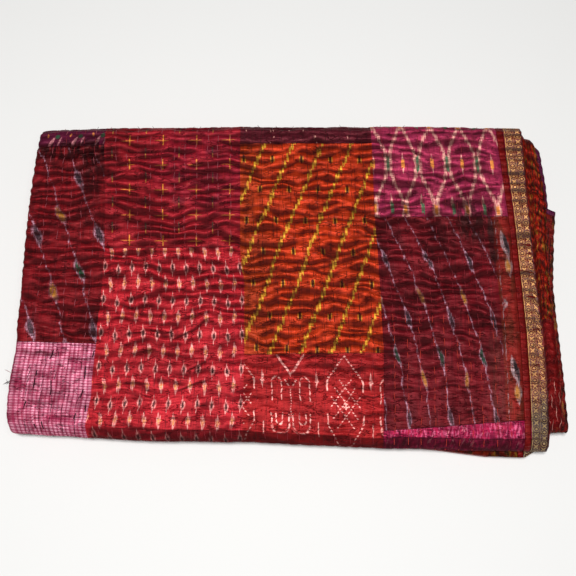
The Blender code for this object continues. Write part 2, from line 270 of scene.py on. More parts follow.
# Where the plies of a packet end and turn in X, in millimetres, along the packets.
PLY_ENDS = table(
    "t bound trim left second turned",
    (0.0, 271.0, 247.0, -283.0, 285.0, 290.0),
    (1.0, 270.8, 243.5, -287.0, 284.0, 289.0),
    (top(0), 271.4, 241.4, -291.5, 286.0, 290.0),
    (top(2), 271.9, 243.0, -291.8, 290.0, 292.0),
    (top(4), 272.3, 245.0, -291.8, 293.0, 294.0),
    (top(6.3), 273.0, 247.0, -291.8, 294.4, 295.0),
    (top(6.55), 273.1, 247.2, -291.8, 294.2, 303.0),
    (top(10), 274.3, 250.4, -291.8, 291.5, 298.0),
    (top(15), 276.4, 252.1, -291.8, 291.0, 293.5),
    (top(19), 279.6, 253.4, -291.8, 292.5, 295.0),
    (top(24), 280.0, 252.7, -291.8, 293.5, 297.0),
    (top(29), 276.2, 250.9, -291.5, 293.0, 297.5),
    (4.0, 275.6, 250.0, -288.0, 289.0, 295.0),
    (5.0, 270.5, 247.5, -284.0, 284.0, 286.0),
    (6.0, 270.5, 247.0, -285.0, 284.0, 287.0),
    (7.0, 271.0, 247.0, -283.0, 286.0, 291.0),
)
INNER_INSET = 9.0 * MM

# Where the three seams between the columns of patches lie in X, in millimetres, along the packets.
SEAM_LINES = table(
    "t left_seam middle_seam right_seam",
    (T_TOP_RUN, -222.4, -60.4, 95.2),
    (T_TOP_RUN + 0.08, -219.9, -59.4, 96.3),
    (T_TOP_RUN + 0.155, -216.2, -58.0, 96.8),
    (T_TOP_RUN + 0.29, -211.8, -56.7, 97.4),
    (T_TOP_RUN + 0.40, -208.7, -56.0, 99.0),
    (T_TOP_RUN + 0.53, -209.5, -50.5, 101.0),
    (T_TOP_RUN + 0.74, -212.0, -49.2, 103.0),
    (T_TOP_RUN + 0.817, -210.8, -48.5, 102.4),
    (T_TOP_RUN + 0.90, -209.0, -47.5, 101.6),
    (T_TOP_RUN + 0.967, -213.2, -48.9, 100.9),
    (T_TOP_RUN + 1.0, -216.0, -50.0, 100.5),
)

# Where the packets turn in Y, along the quilt, all in millimetres.
PACKET_ENDS = table(
    "x back front third lowest",
    (-300.0, 179.3, -151.6, -155.0, -154.0),
    (-225.0, 182.0, -155.6, -160.0, -158.0),
    (-150.0, 182.6, -159.9, -163.0, -161.0),
    (-40.0, 184.0, -161.0, -165.0, -164.0),
    (60.0, 184.2, -165.6, -170.0, -168.0),
    (160.0, 183.9, -169.0, -180.0, -175.0),
    (215.0, 182.9, -169.9, -187.0, -181.5),
    (255.0, 182.1, -170.5, -188.5, -183.0),
    (266.0, 181.9, -170.8, -182.0, -177.0),
    (273.0, 181.7, -171.0, -168.0, -166.0),
    (275.5, 171.5, -171.0, -165.0, -164.0),
    (278.0, 171.3, -170.0, -160.0, -160.0),
    (280.0, 171.1, -155.0, -156.5, -157.0),
    (284.0, 170.5, -151.5, -155.5, -156.0),
    (290.0, 161.5, -151.5, -154.5, -155.5),
    (294.5, 161.0, -154.0, -154.5, -155.5),
    (298.0, 160.5, -157.0, -155.0, -155.5),
    (310.0, 160.0, -157.5, -155.0, -155.5),
)
INSIDE_INSET = 6.5 * MM

# How far the left fold leans in X, from the front to the back, in millimetres.
LEFT_LEAN = table(
    "y shift",
    (-175.0, 0.0), (-158.0, -2.4), (-143.0, -5.2), (-125.0, -5.4),
    (-104.0, -4.2), (-70.0, 0.2), (-42.0, -0.6), (-15.0, 0.6), (45.0, 0.6),
    (95.0, 2.0), (135.0, 4.0), (165.0, 6.5), (190.0, 8.5),
)
LEAN_FROM, LEAN_FULL = 100 * MM, -270 * MM

# The trim's width as sewn, how much thinner its rims are, and the share of the width that
# each strip takes.
TRIM_WIDTH, RIM_THINNER = 24.4 * MM, 0.35
BINDING_SPAN = (0.0, 0.27)
RIBBON_SPAN = (0.29, 1.0)

# How strongly the stitches draw up each part of the top: rows from the back to the front,
# columns from the left fold to the binding.
STRENGTH_X = [-290 * MM, -212 * MM, -190 * MM, -60 * MM, -30 * MM, 95 * MM, 120 * MM, 247 * MM]
STRENGTH_V = [0 * MM, 20 * MM, 110 * MM, 200 * MM, 250 * MM, 275 * MM, 330 * MM, 349 * MM]
STRENGTH = [
    [0.50, 0.60, 0.60, 0.60, 0.55, 0.55, 0.70, 0.70],
    [0.85, 0.95, 0.95, 0.95, 1.00, 1.00, 0.95, 0.90],
    [0.95, 1.00, 1.05, 1.00, 1.05, 1.00, 0.90, 0.85],
    [0.90, 0.95, 0.78, 0.78, 1.05, 1.00, 0.95, 0.75],
    [0.75, 0.80, 0.60, 0.60, 1.00, 1.00, 0.85, 0.65],
    [0.35, 0.35, 0.46, 0.48, 0.44, 0.50, 0.46, 0.38],
    [0.35, 0.35, 0.38, 0.42, 0.34, 0.40, 0.32, 0.30],
    [0.30, 0.30, 0.30, 0.30, 0.30, 0.30, 0.35, 0.35],
]


# ---- Where the cloth lies ----

def table_value(rows, key, name, place):
    """One column of a table in millimetres at many places, as metres."""
    places = [getattr(row, key) * (1.0 if key == "t" else MM) for row in rows]
    return np.interp(place, places, [getattr(row, name) * MM for row in rows])


def ply_ends(t):
    """X of each named place in a packet at each t."""
    ends = {name: table_value(PLY_ENDS, "t", name, t)
            for name in ("bound", "trim", "left", "second", "turned")}
    ends["slope"] = ends["trim"] - PRESSED_STEP
    ends["inner"] = ends["left"] + INNER_INSET
    for name in ("left_seam", "middle_seam", "right_seam"):
        ends[name] = table_value(SEAM_LINES, "t", name, t)
    return ends


def packet_ends(x):
    """Y of each named place in the stack at each x."""
    ends = {name: table_value(PACKET_ENDS, "x", name, x)
            for name in ("back", "front", "third", "lowest")}
    ends["inside"] = ends["back"] - INSIDE_INSET
    return ends


def smooth(share):
    """A smooth step from 0 to 1 while a share goes from 0 to 1."""
    share = np.clip(share, 0.0, 1.0)
    return share * share * (3 - 2 * share)


def top_ply_x(u, ends):
    """X of a nominal place on the top ply, whose seams are not quite straight."""
    x = np.zeros_like(u)
    seams = list(zip(SEAM_NAMES, SEAM_PLACES))
    for (first, from_u), (second, to_u) in zip(seams, seams[1:]):
        share = (u - from_u) / (to_u - from_u)
        here = (share >= -NEAR) & (share <= 1 + NEAR)
        x[here] = ends[first][here] + share[here] * (ends[second][here] - ends[first][here])
    return x


def section_place(rows, place, ends, offset):
    """Distance along and height of points that lie offset outside a section's line."""
    index = np.minimum(place.astype(int), len(rows) - 1)
    along, height = np.zeros_like(place), np.zeros_like(place)
    for number, row in enumerate(rows):
        here = index == number
        if not here.any():
            continue
        share, reach = place[here] - number, row.faces * offset[here]
        if isinstance(row, Fold):
            turn = math.pi * share
            out, up = np.abs(np.sin(turn)) ** row.sharp, np.abs(np.cos(turn)) ** row.sharp
            along[here] = ends[row.centre][here] + row.side * (row.half_width + reach) * out
            up = up * np.sign(np.cos(turn))
            height[here] = row.level + row.begins * (row.half_height + reach) * up
            continue
        height[here] = row.level + reach
        if rows is PLIES and number == S_TOP_RUN:
            u = np.interp(share * (len(TOP_COLUMNS) - 1), range(len(TOP_COLUMNS)), TOP_COLUMNS)
            along[here] = top_ply_x(u, {name: values[here] for name, values in ends.items()})
            continue
        through = [np.full(here.sum(), knot) for knot in row.through]
        knots = np.array([ends[row.start][here], *through, ends[row.end][here]])
        step = share * (len(knots) - 1)
        low = np.minimum(step.astype(int), len(knots) - 2)
        column = np.arange(len(step))
        along[here] = knots[low, column] + (step - low) * (knots[low + 1, column] - knots[low, column])
    return along, height


def soft_noise(a, b, seed):
    """Smooth noise between -1 and 1 at many places, given in lengths of a grain."""
    return np.array([noise.noise((p, q, seed)) for p, q in zip(a.tolist(), b.tolist())])


def stack_place(x, height, t):
    """World places of points that lie at x and at a height over their packet's middle."""
    y, z = section_place(PACKETS, t, packet_ends(x), height)
    shift = table_value(LEFT_LEAN, "y", "shift", y)
    along = np.sin(math.tau * x / SWELL_LENGTH + SWELL_PHASE)
    swell = 1 + SWELL * along * np.cos(math.tau * y / SWELL_WIDTH)
    swell += DENTS * soft_noise(x / 0.085, y / 0.070, 3.1)
    return np.stack([x + shift * smooth((LEAN_FROM - x) / (LEAN_FROM - LEAN_FULL)), y, z * swell], axis=1)


def ripple_of(t):
    """The ripple's number at t before the wander: 0 at the back edge, RIPPLES at the front."""
    index = np.minimum(t.astype(int), len(PACKETS) - 1)
    v = np.array(V_STARTS)[index] + (t - index) * np.array(V_LENGTHS)[index]
    return v / RIPPLE_PITCH


def wandered(x, t):
    """t after the ripples' wander, so that rows of points follow the valleys."""
    ripple = (t - T_TOP_RUN) * RIPPLES
    calm = smooth(ripple / RIPPLE_CALM) * smooth((RIPPLES - ripple) / RIPPLE_CALM)
    wander = sum(wave.size * np.sin(math.tau * (x / wave.length + ripple / wave.ripples) + wave.phase)
                 for wave in WANDER)
    wander = wander + 0.50 * soft_noise(x / 0.062, ripple / 3.2, 5.7)
    wander = wander + 0.24 * soft_noise(x / 0.021, ripple / 1.7, 9.2)
    return np.where((t > T_TOP_RUN) & (t < T_TOP_RUN + 1), t + calm * wander / RIPPLES, t)


def local_strength(x, v):
    """How strongly the stitches draw up the cloth at many places."""
    rows = np.array([np.interp(x, STRENGTH_X, row) for row in STRENGTH])
    step = np.interp(v, STRENGTH_V, range(len(STRENGTH_V)))
    low = np.minimum(step.astype(int), len(rows) - 2)
    column = np.arange(len(step))
    strength = rows[low, column] + (step - low) * (rows[low + 1, column] - rows[low, column])
    return strength * (1 - (1 - TRIM_RIPPLE) * smooth((x - STRENGTH_X[-1]) / TRIM_FADE + 1))


def creases(x, v):
    """Small creases between -1 and 1, long along x and drifting a little in v."""
    drift = 0.006 * soft_noise(x / 0.05, v / 0.05, 6.6)
    first = np.abs(soft_noise(x / 0.016, (v + drift) / 0.0044, 8.8))
    second = np.abs(soft_noise((x + 0.8 * v) / 0.012, (v - drift) / 0.0060, 2.8))
    return 1.4 * np.minimum(2.4 * np.minimum(first, second + 0.06), 1.0) - 1.0


# The few long creases that cross the stitching: where each starts and ends, in millimetres
# along X and along the width, and its depth.
LONG_CREASES = [
    (-188.0, 249.0, -117.0, 232.0, 0.8), (-140.0, 251.0, -66.0, 224.0, 0.6),
    (-177.0, 288.0, -156.0, 273.0, 0.8), (-113.0, 288.0, -82.0, 266.0, 1.0),
    (-123.0, 306.0, -80.0, 295.0, 0.8), (-182.0, 302.0, -141.0, 297.0, 0.7),
    (-158.0, 262.0, -120.0, 270.0, 0.5), (16.0, 265.0, 42.0, 268.0, 0.9),
    (74.0, 310.0, 102.0, 304.0, 0.7), (-20.0, 283.0, 12.0, 279.0, 0.5),
    (162.0, 290.0, 206.0, 294.0, 0.9), (188.0, 326.0, 208.0, 321.0, 0.8),
    (176.0, 335.0, 198.0, 326.0, 0.6), (136.0, 256.0, 158.0, 246.0, 0.8),
    (112.0, 300.0, 138.0, 296.0, 0.5),
]


def long_creases(x, v):
    """Share of full depth that the long creases give many places, 0 away from them."""
    depth = x * 0
    for start_x, start_v, end_x, end_v, deepest in LONG_CREASES:
        share = (x / MM - start_x) / (end_x - start_x)
        middle = start_v + (end_v - start_v) * share + 3.0 * soft_noise(x / 0.014, x * 0, start_v)
        across = (v / MM - middle) / CREASE_HALF
        fade = smooth(share / 0.25) * smooth((1 - share) / 0.25)
        depth = np.maximum(depth, deepest * fade * np.exp(-across ** 2))
    return depth


def wave_of(ripple):
    """0 in each valley and 1 on each crest, with the steeper side to the front."""
    share = ripple - np.floor(ripple)
    back = 0.5 * share / RIPPLE_PEAK
    front = 1 - 0.5 * (1 - share) / (1 - RIPPLE_PEAK)
    return np.abs(np.sin(math.pi * np.where(share < RIPPLE_PEAK, back, front))) ** RIPPLE_ROUND


def joined_wave(x, ripple):
    """Two sets of ripples of unlike pitch, blended so that crests split and join along X."""
    v = ripple * RIPPLE_PITCH
    first = ripple + 0.55 * soft_noise(x / 0.032, v / 0.026, 1.9)
    first = first + 0.30 * soft_noise(x / 0.013, v / 0.011, 6.2)
    second = 1.22 * ripple + 0.7 * soft_noise(x / 0.027, v / 0.018, 3.3)
    share = smooth(0.5 + 1.9 * soft_noise(x / 0.036, v / 0.022, 8.1))
    return (1 - share) * wave_of(first) + share * wave_of(second)


def ripple_shape(x, t, sizes):
    """Height of the rippled face, how deep under the crests it is, to be painted as shade, and its share of a
    crest.
    """
    ripple = ripple_of(t)
    v = ripple * RIPPLE_PITCH
    strength = local_strength(x, v)
    depth = 0.95 + 0.9 * soft_noise(x / 0.030, v / 0.016, 1.3)
    depth = np.clip(depth + 0.6 * soft_noise(x / 0.012, v / 0.009, 7.7), 0.15, 1.6)
    puff = 0.9 * soft_noise(x / 0.024, v / 0.014, 4.4)
    wave = joined_wave(x, ripple)
    height = strength * (sizes.crest * (1 + puff * wave) - sizes.valley * depth * (1 - wave))
    height = height + (0.25 + 0.75 * strength) * sizes.crease * creases(x, v)
    trough = long_creases(x, v)
    height = height - CREASE_DEPTH * trough
    rounded = smooth((t - T_BACK_FOLD - 0.15) / 0.5) * smooth((T_SECOND - t) / 0.6)
    # How deep under the crests a place lies, and in the long creases: the silks paint this as shade.
    deep = (0.75 * strength * sizes.crest - height) / DEEP + 0.60 * trough
    return height * rounded, np.clip(deep, 0.0, 1.0) * rounded, wave


def trim_gather(beyond):
    """How much stronger the gathers are at a distance beyond the trim's inner edge."""
    return 1 + RIBBON_GATHER * smooth((beyond - GATHER_START) / GATHER_START)


def stitch_pull(u, wave, sizes):
    """How far the rows of stitches pull the crests down."""
    nearest = np.min(np.abs(u[:, None] - np.array(STITCH_ROWS)[None, :]), axis=1)
    return sizes.pinch * np.exp(-(nearest / STITCH_HOLD) ** 2) * wave


def seam_rise(u, sizes):
    """How far the seams between the columns of patches stand up."""
    nearest = np.min(np.abs(u[:, None] - np.array(SEAM_PLACES[1:-1])[None, :]), axis=1)
    return sizes.seam * np.exp(-(nearest / SEAM_HOLD) ** 2)


def exposed_end(s, t, x, outer):
    """How far ripples sink into the bare end of the second ply, and how much painted shade its valleys and
    its edge by the trim get.
    """
    here = ~outer & (s > S_SECOND + 0.5) & (t > T_BACK_FOLD) & (t < T_SECOND)
    ripple = ripple_of(t)
    slant = 70.0 * (x - BARE_MIDDLE) * soft_noise(ripple / 2.4, ripple * 0, 4.1)
    wave = joined_wave(x + 0.5, 0.95 * ripple + slant)
    # Painted shadow of the trim on the bare end beside it.
    under = 0.5 * smooth(1 - (x - table_value(PLY_ENDS, "t", "bound", t)) / (6 * MM))
    bare = smooth((x - BARE_FROM) / (5 * MM)) * smooth((t - T_BACK_FOLD - 0.3) / 0.4)
    bare = bare * smooth((T_SECOND - t) / 0.6)
    bare = bare * (1 - 0.55 * smooth((ripple - 17.0) / 3.0))
    bare = bare * (1.0 + 0.7 * soft_noise(ripple / 1.9, ripple * 0, 7.3))
    bare = np.where(here, np.clip(bare, 0.0, 1.3), 0.0)
    shaded = bare * (1 - wave) ** 0.8 + np.where(here, under, 0.0)
    return bare * (BARE_VALLEY * (1 - wave) - BARE_CREST * wave), shaded


def front_shade(x, t):
    """How much painted shade, as a depth in a valley, the cloth on the front fold gets below its crease."""
    late = sum(amount * smooth((x - start) / length) for start, length, amount in LATE_FRONT)
    late = late * smooth((LATE_FRONT_END - x) / (4 * MM))
    begin = T_FRONT_FOLD - 0.003 + late + 0.010 * soft_noise(x / 0.045, x * 0, 4.9)
    rise = smooth((x - FRONT_DARK_FROM) / (6 * MM))
    right = FRONT_DARK_LEFT + (FRONT_DARK - FRONT_DARK_LEFT) * rise
    return right * smooth((t - begin) / 0.013) * smooth((T_SECOND - 0.05 - t) / 0.15)


def nominal_u(s):
    """Place along the quilt's length at s, in the UV map."""
    index = np.minimum(s.astype(int), len(PLIES) - 1)
    starts = U_START - np.array([sum(U_LENGTHS[:k]) for k in range(len(U_LENGTHS))])
    u = starts[index] - (s - index) * np.array(U_LENGTHS)[index]
    on_top = index == S_TOP_RUN
    share = (s[on_top] - S_TOP_RUN) * (len(TOP_COLUMNS) - 1)
    u[on_top] = np.interp(share, range(len(TOP_COLUMNS)), TOP_COLUMNS)
    return u


def cloth_v(t):
    """Place along the quilt's width at t, in the UV map."""
    return ripple_of(t) * RIPPLE_PITCH


def cloth_place(s, t, outer, sizes):
    """World place, place in the UV map and painted shade, as a depth in a valley, of many points on the
    cloth.
    """
    ends = ply_ends(t)
    u = nominal_u(s)
    trim_x = ends["slope"]
    on_trim = s < S_TRIM_END + NEAR
    rippled = outer & (s < S_FOURTH) & (t > T_BACK_FOLD) & (t < T_SECOND)
    full_x, _ = section_place(PLIES, s, ends, np.zeros_like(s))
    flat_x = np.minimum(full_x, trim_x)
    height, valley, wave = ripple_shape(flat_x, t, sizes)
    gather = trim_gather(full_x - trim_x)
    height, valley = height * gather, np.minimum(valley * gather, 1.0)
    wrap = 1 - smooth((s - S_LEFT_FOLD) / WRAP_FADE)
    pull = stitch_pull(u, wave, sizes) * (s > S_TRIM_END) * (s < S_LEFT_FOLD)
    height = np.where(rippled, (height - pull + seam_rise(u, sizes)) * wrap, 0.0)
    valley = np.where(rippled, valley * wrap, 0.0)
    pressed = PRESSED + (HALF_PLY - PRESSED) * smooth(s - S_TRIM_END)
    offset = np.where(outer, np.maximum(pressed + height, THINNEST - HALF_PLY), -HALF_PLY)
    moved = np.where(rippled | (~outer & on_trim), wandered(flat_x, t), t)
    # Painted shade on the second ply's bare end and on the front fold joins that in the valleys.
    sunk, shaded = exposed_end(s, t, full_x, outer)
    shaded = shaded + front_shade(full_x, t) * rippled
    offset, valley = offset + sunk, np.minimum(valley + shaded, 1.0)
    x, lift = section_place(PLIES, s, ends, offset)
    # The free end of the second ply and the fold of the third and fourth waver with the ripples.
    ripple = ripple_of(t)
    at_fold = smooth((s - S_TURNED + 0.2) / 0.15) * smooth((S_THIRD + 0.2 - s) / 0.15)
    reach = np.maximum(smooth((s - S_SECOND - 0.55) / 0.4), at_fold)
    waver = 0.55 * np.sin(math.tau * ripple + 3.0 * x / 0.3) + 1.1 * soft_noise(ripple / 1.7, s / 3, 2.2)
    x = x + reach * waver * 0.7 * MM
    lift = lift + reach * 0.16 * MM * np.sin(math.tau * ripple + s)
    places = stack_place(x, lift, moved)
    return places, u, cloth_v(moved), valley


def strip_place(span, across, t, offset, sizes):
    """World place, place in V and painted shade, as a depth in a valley, of many points across a sewn strip.
    """
    ends = ply_ends(t)
    height, valley, _ = ripple_shape(ends["slope"], t, sizes)
    moved = wandered(ends["slope"], t)
    share = span[0] + across * (span[1] - span[0])
    x = ends["trim"] + CLEAR + share * (ends["bound"] - ends["trim"] - CLEAR)
    gather = trim_gather(x - ends["slope"])
    height = np.maximum(height * gather, THINNEST - HALF_PLY - PRESSED)
    valley = np.minimum(valley * gather, 1.0)
    return stack_place(x, PLY_LEVEL[0] + offset + height, moved), cloth_v(moved), valley


# ---- Building a mesh over s and t ----

def stations(rows):
    """Every station of a section, row by row, and its end."""
    return [index + share for index, row in enumerate(rows) for share in row.stations] + [len(rows)]


def slab(columns, rows):
    """A closed slab over a grid whose X is a column, Y a row and Z 0 inside or 1 outside."""
    bm = bmesh.new()
    bmesh.ops.create_grid(bm, x_segments=len(columns) - 1, y_segments=len(rows) - 1, size=0.5)
    for vert in bm.verts:
        column_index = round((vert.co.x + 0.5) * (len(columns) - 1))
        row_index = round((vert.co.y + 0.5) * (len(rows) - 1))
        vert.co = (columns[column_index], rows[row_index], 0.0)
    raised = bmesh.ops.extrude_face_region(bm, geom=bm.faces[:])["geom"]
    for vert in (item for item in raised if isinstance(item, bmesh.types.BMVert)):
        vert.co.z = 1.0
    return bm


def cut(bm, axis, low, high, cuts, chosen):
    """Divide the chosen edges that run along an axis, 0 for s or 1 for t, from low to high."""
    edges = []
    for edge in bm.edges:
        first, second = (vert.co for vert in edge.verts)
        if first[axis] > second[axis]:
            first, second = second, first
        runs_along = abs(first[1 - axis] - second[1 - axis]) < NEAR < second[axis] - first[axis]
        level = abs(first[2] - second[2]) < NEAR
        if runs_along and level and low - NEAR < first[axis] and second[axis] < high + NEAR and chosen(first):
            edges.append(edge)
    bmesh.ops.subdivide_edges(bm, edges=edges, cuts=cuts, use_single_edge=True)


def parameters(bm):
    """s, t and whether it is on the outer face, for every vertex."""
    places = np.array([vert.co for vert in bm.verts])
    return places[:, 0], places[:, 1], places[:, 2] > 0.5


def finish_mesh(name, bm, places):
    """Move every vertex to its place and turn the bmesh into a mesh whose faces point outwards."""
    for vert, place in zip(bm.verts, places):
        vert.co = place
    bmesh.ops.triangulate(bm, faces=[face for face in bm.faces if len(face.verts) > 4])
    bmesh.ops.recalc_face_normals(bm, faces=bm.faces[:])
    mesh = bpy.data.meshes.new(name)
    bm.to_mesh(mesh)
    bm.free()
    mesh.shade_smooth()
    return mesh


def vertex_of_loop(mesh):
    """The vertex at each corner of a mesh's faces."""
    indices = np.zeros(len(mesh.loops), int)
    mesh.loops.foreach_get("vertex_index", indices)
    return indices


def write_map(mesh, u, v, valley):
    """Store the UV map and the depth in a valley, which the silks paint as shade."""
    indices = vertex_of_loop(mesh)
    layer = mesh.uv_layers.new(name="cloth")
    layer.data.foreach_set("uv", np.stack([u[indices], v[indices]], axis=1).astype(np.float32).ravel())
    stored = mesh.attributes.new("valley", "FLOAT", "POINT")
    stored.data.foreach_set("value", valley.astype(np.float32))


def face_mean(mesh, values):
    """Mean over each face's corners of a value that every vertex has."""
    starts = np.zeros(len(mesh.polygons), int)
    totals = np.zeros(len(mesh.polygons), int)
    mesh.polygons.foreach_get("loop_start", starts)
    mesh.polygons.foreach_get("loop_total", totals)
    return np.add.reduceat(values[vertex_of_loop(mesh)], starts) / totals


def add_piece(name, mesh, materials, slot, *nodes):
    """Link a finished mesh with its materials, and hide the nodes that it stands for. The slot is not used.
    """
    obj = bpy.data.objects.new(name, mesh)
    bpy.context.scene.collection.objects.link(obj)
    for material in materials:
        mesh.materials.append(material)
    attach(obj, "root")
    if nodes:
        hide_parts(*nodes)
    return obj


# ---- Shader arithmetic ----

def connect(tree, value, socket):
    """Feed a socket from a value, another socket, a colour, its code or a plain number."""
    if isinstance(value, Value):
        value = value.socket
    elif isinstance(value, str):
        value = paint(value)
    if isinstance(value, bpy.types.NodeSocket):
        tree.links.new(value, socket)
    elif isinstance(value, (tuple, Color)):
        socket.default_value = (*value, 1.0)
    else:
        socket.default_value = value


class Value:
    """A number or colour that varies over a surface, worked out by nodes in a shader tree."""

    def __init__(self, tree, socket):
        self.tree, self.socket = tree, socket

    def maths(self, operation, *others):
        """The result of a Math node on this and other values."""
        node = self.tree.nodes.new("ShaderNodeMath")
        node.operation = operation
        for socket, value in zip(node.inputs, (self, *others)):
            connect(self.tree, value, socket)
        return Value(self.tree, node.outputs[0])

    __add__ = partialmethod(maths, "ADD")
    __sub__ = partialmethod(maths, "SUBTRACT")
    __mul__ = partialmethod(maths, "MULTIPLY")
    __truediv__ = partialmethod(maths, "DIVIDE")
    __abs__ = partialmethod(maths, "ABSOLUTE")
    floor = partialmethod(maths, "FLOOR")
    wrap = partialmethod(maths, "FLOORED_MODULO")
    most = partialmethod(maths, "MAXIMUM")
    power = partialmethod(maths, "POWER")
    sine = partialmethod(maths, "SINE")

    def away(self, number):
        """number - self"""
        return (self * -1.0) + number

    def centred(self, period, start=0.0):
        """Distance from the nearest of the places start + k * period."""
        return (self + (period / 2 - start)).wrap(period) - period / 2

    def ramp(self, low, high, start=0.0, end=1.0):
        """A smooth step from start at low to end at high."""
        node = self.tree.nodes.new("ShaderNodeMapRange")
        node.interpolation_type = "SMOOTHSTEP"
        for socket, value in zip(node.inputs, (self, low, high, start, end)):
            connect(self.tree, value, socket)
        return Value(self.tree, node.outputs[0])

    def below(self, limit, blur=0.3):
        """1 where this is under the limit, 0 over it."""
        return self.ramp(limit - blur, limit + blur, 1.0, 0.0)

    def above(self, limit, blur=0.3):
        """1 where this is over the limit, 0 under it."""
        return self.ramp(limit - blur, limit + blur)


def mixed(factor, under, over):
    """A colour or number between under, at factor 0, and over, at factor 1."""
    node = factor.tree.nodes.new("ShaderNodeMix")
    node.data_type = "RGBA"
    connect(factor.tree, factor, node.inputs[0])
    connect(factor.tree, under, node.inputs[6])
    connect(factor.tree, over, node.inputs[7])
    return Value(factor.tree, node.outputs[2])


def laid(ground, *layers):
    """A ground with colours laid over it one after another, each through its mask."""
    for mask, over in layers:
        ground = mixed(mask, ground, over)
    return ground


def grain(u, v, wide, tall, seed, detail=2.0):
    """Noise from 0 to 1 whose grains are wide by tall millimetres, unlike for each seed."""
    tree = u.tree
    place = tree.nodes.new("ShaderNodeCombineXYZ")
    connect(tree, u / wide, place.inputs[0])
    connect(tree, v / tall, place.inputs[1])
    place.inputs[2].default_value = seed
    node = tree.nodes.new("ShaderNodeTexNoise")
    node.inputs["Scale"].default_value = 1.0
    node.inputs["Detail"].default_value = detail
    tree.links.new(place.outputs[0], node.inputs["Vector"])
    return Value(tree, node.outputs[0])


def dice(value, seed=0.0):
    """A random number from 0 to 1 for each whole value."""
    node = value.tree.nodes.new("ShaderNodeTexWhiteNoise")
    node.noise_dimensions = "1D"
    connect(value.tree, value.floor() + seed, node.inputs["W"])
    return Value(value.tree, node.outputs["Value"])


def box(cu, cv, half_u, half_v, blur=0.25):
    """Mask of a rectangle round a cell's centre."""
    return abs(cu).below(half_u, blur) * abs(cv).below(half_v, blur * 2)


def lozenge(cu, cv, half_u, half_v, blur=0.15):
    """Mask of a spindle with pointed ends round a cell's centre."""
    return (abs(cu) / half_u + (abs(cv) / half_v).power(1.5)).below(1.0, blur)


def oval(cu, cv, half_u, half_v, blur=0.15):
    """Mask of an oval round a cell's centre."""
    return ((cu / half_u).power(2.0) + (cv / half_v).power(2.0)).power(0.5).below(1.0, blur)


SOCKETS = {"value": "NodeSocketFloat", "colour": "NodeSocketColor"}


def make_group(name, inputs, outputs, draw):
    """A shader node group. inputs and outputs are (name, kind) and draw works out the outputs."""
    tree = bpy.data.node_groups.new(name, "ShaderNodeTree")
    for label, kind in inputs:
        tree.interface.new_socket(name=label, in_out="INPUT", socket_type=SOCKETS[kind])
    for label, kind in outputs:
        tree.interface.new_socket(name=label, in_out="OUTPUT", socket_type=SOCKETS[kind])
    start = tree.nodes.new("NodeGroupInput")
    end = tree.nodes.new("NodeGroupOutput")
    results = draw(*[Value(tree, start.outputs[label]) for label, _ in inputs])
    for (label, _), result in zip(outputs, results):
        connect(tree, result, end.inputs[label])
    return tree


def place_group(tree, group, *values):
    """Put a group in a tree with its values in order, and give its outputs."""
    node = tree.nodes.new("ShaderNodeGroup")
    node.node_tree = group
    for socket, value in zip(node.inputs, values):
        connect(tree, value, socket)
    return [Value(tree, socket) for socket in node.outputs]


# ---- Patterns of the silks: U and V in millimetres, U to the right and V to the front ----

WEAVE_PITCH = 0.62                          # millimetres from one bundle of threads to the next
VALLEY_SHADE_COLOUR = (0.016, 0.0006, 0.0012)           # painted shade of silk at the bottom of a valley
CREASE_SHADE_COLOUR = (0.014, 0.0006, 0.0012)      # painted shade of silk in a small sharp crease
WORN_AND_SHEEN_COLOUR = (0.60, 0.22, 0.20)              # silk on the crests, rubbed pale by wear and lit as a painted sheen highlight


# Each of these gives a colour and how far its marks stand up.

def draw_check(u, v, ground, band, dot, extra):
    """A fine check, worn in patches."""
    across = abs(u.centred(4.65)).below(1.35, 0.55)
    along = abs(v.centred(3.1)).below(0.85, 0.40)
    one = across.most(along)
    both = across * along
    patchy = grain(u, v, 24.0, 12.0, 4.0).ramp(0.34, 0.62)
    thread = grain(u, v, 4.4, 70.0, 3.0, 1.0).ramp(0.35, 0.65) * 0.35
    colour = laid(
        ground, (patchy * 0.30, band), (one * (patchy * 0.34 + thread + 0.10), band),
        (both * (patchy * 0.40 + thread + 0.16), dot),
        (grain(u, v, 14.0, 16.0, 8.0).ramp(0.50, 0.66) * 0.7, extra))
    return colour, one


def draw_crosses(u, v, ground, yellow, green, dark):
    """Yellow crosses with green dashes between them."""
    pitch_u, pitch_v = 39.2, 31.2
    cu, cv = u.centred(pitch_u, 28.8), v.centred(pitch_v, 8.1)
    faint = grain(u, v, 2.0, 3.0, 7.0).ramp(0.30, 0.60, 0.55, 1.0)
    upright = box(cu, cv, 0.65, 6.4) * faint
    level = box(cu + 2.0, cv - 0.6, 8.4, 0.30, 0.25) * abs(cu + 2.0).ramp(3.0, 9.0, 0.95, 0.25)
    gu, gv = u.centred(pitch_u, 8.6), v.centred(pitch_v, 22.6)
    halo = oval(gu, gv, 8.0, 4.5, 0.6) * 0.62
    dash = box(gu, gv - 1.0, 0.75, 6.2, 0.4) * 0.75 * faint
    tip = box(gu, gv - 5.4, 0.5, 2.8, 0.3) * 0.5
    colour = laid(
        ground, (halo, dark), (dash, green), (level.most(tip), yellow), (upright, yellow))
    return colour, upright.most(level)


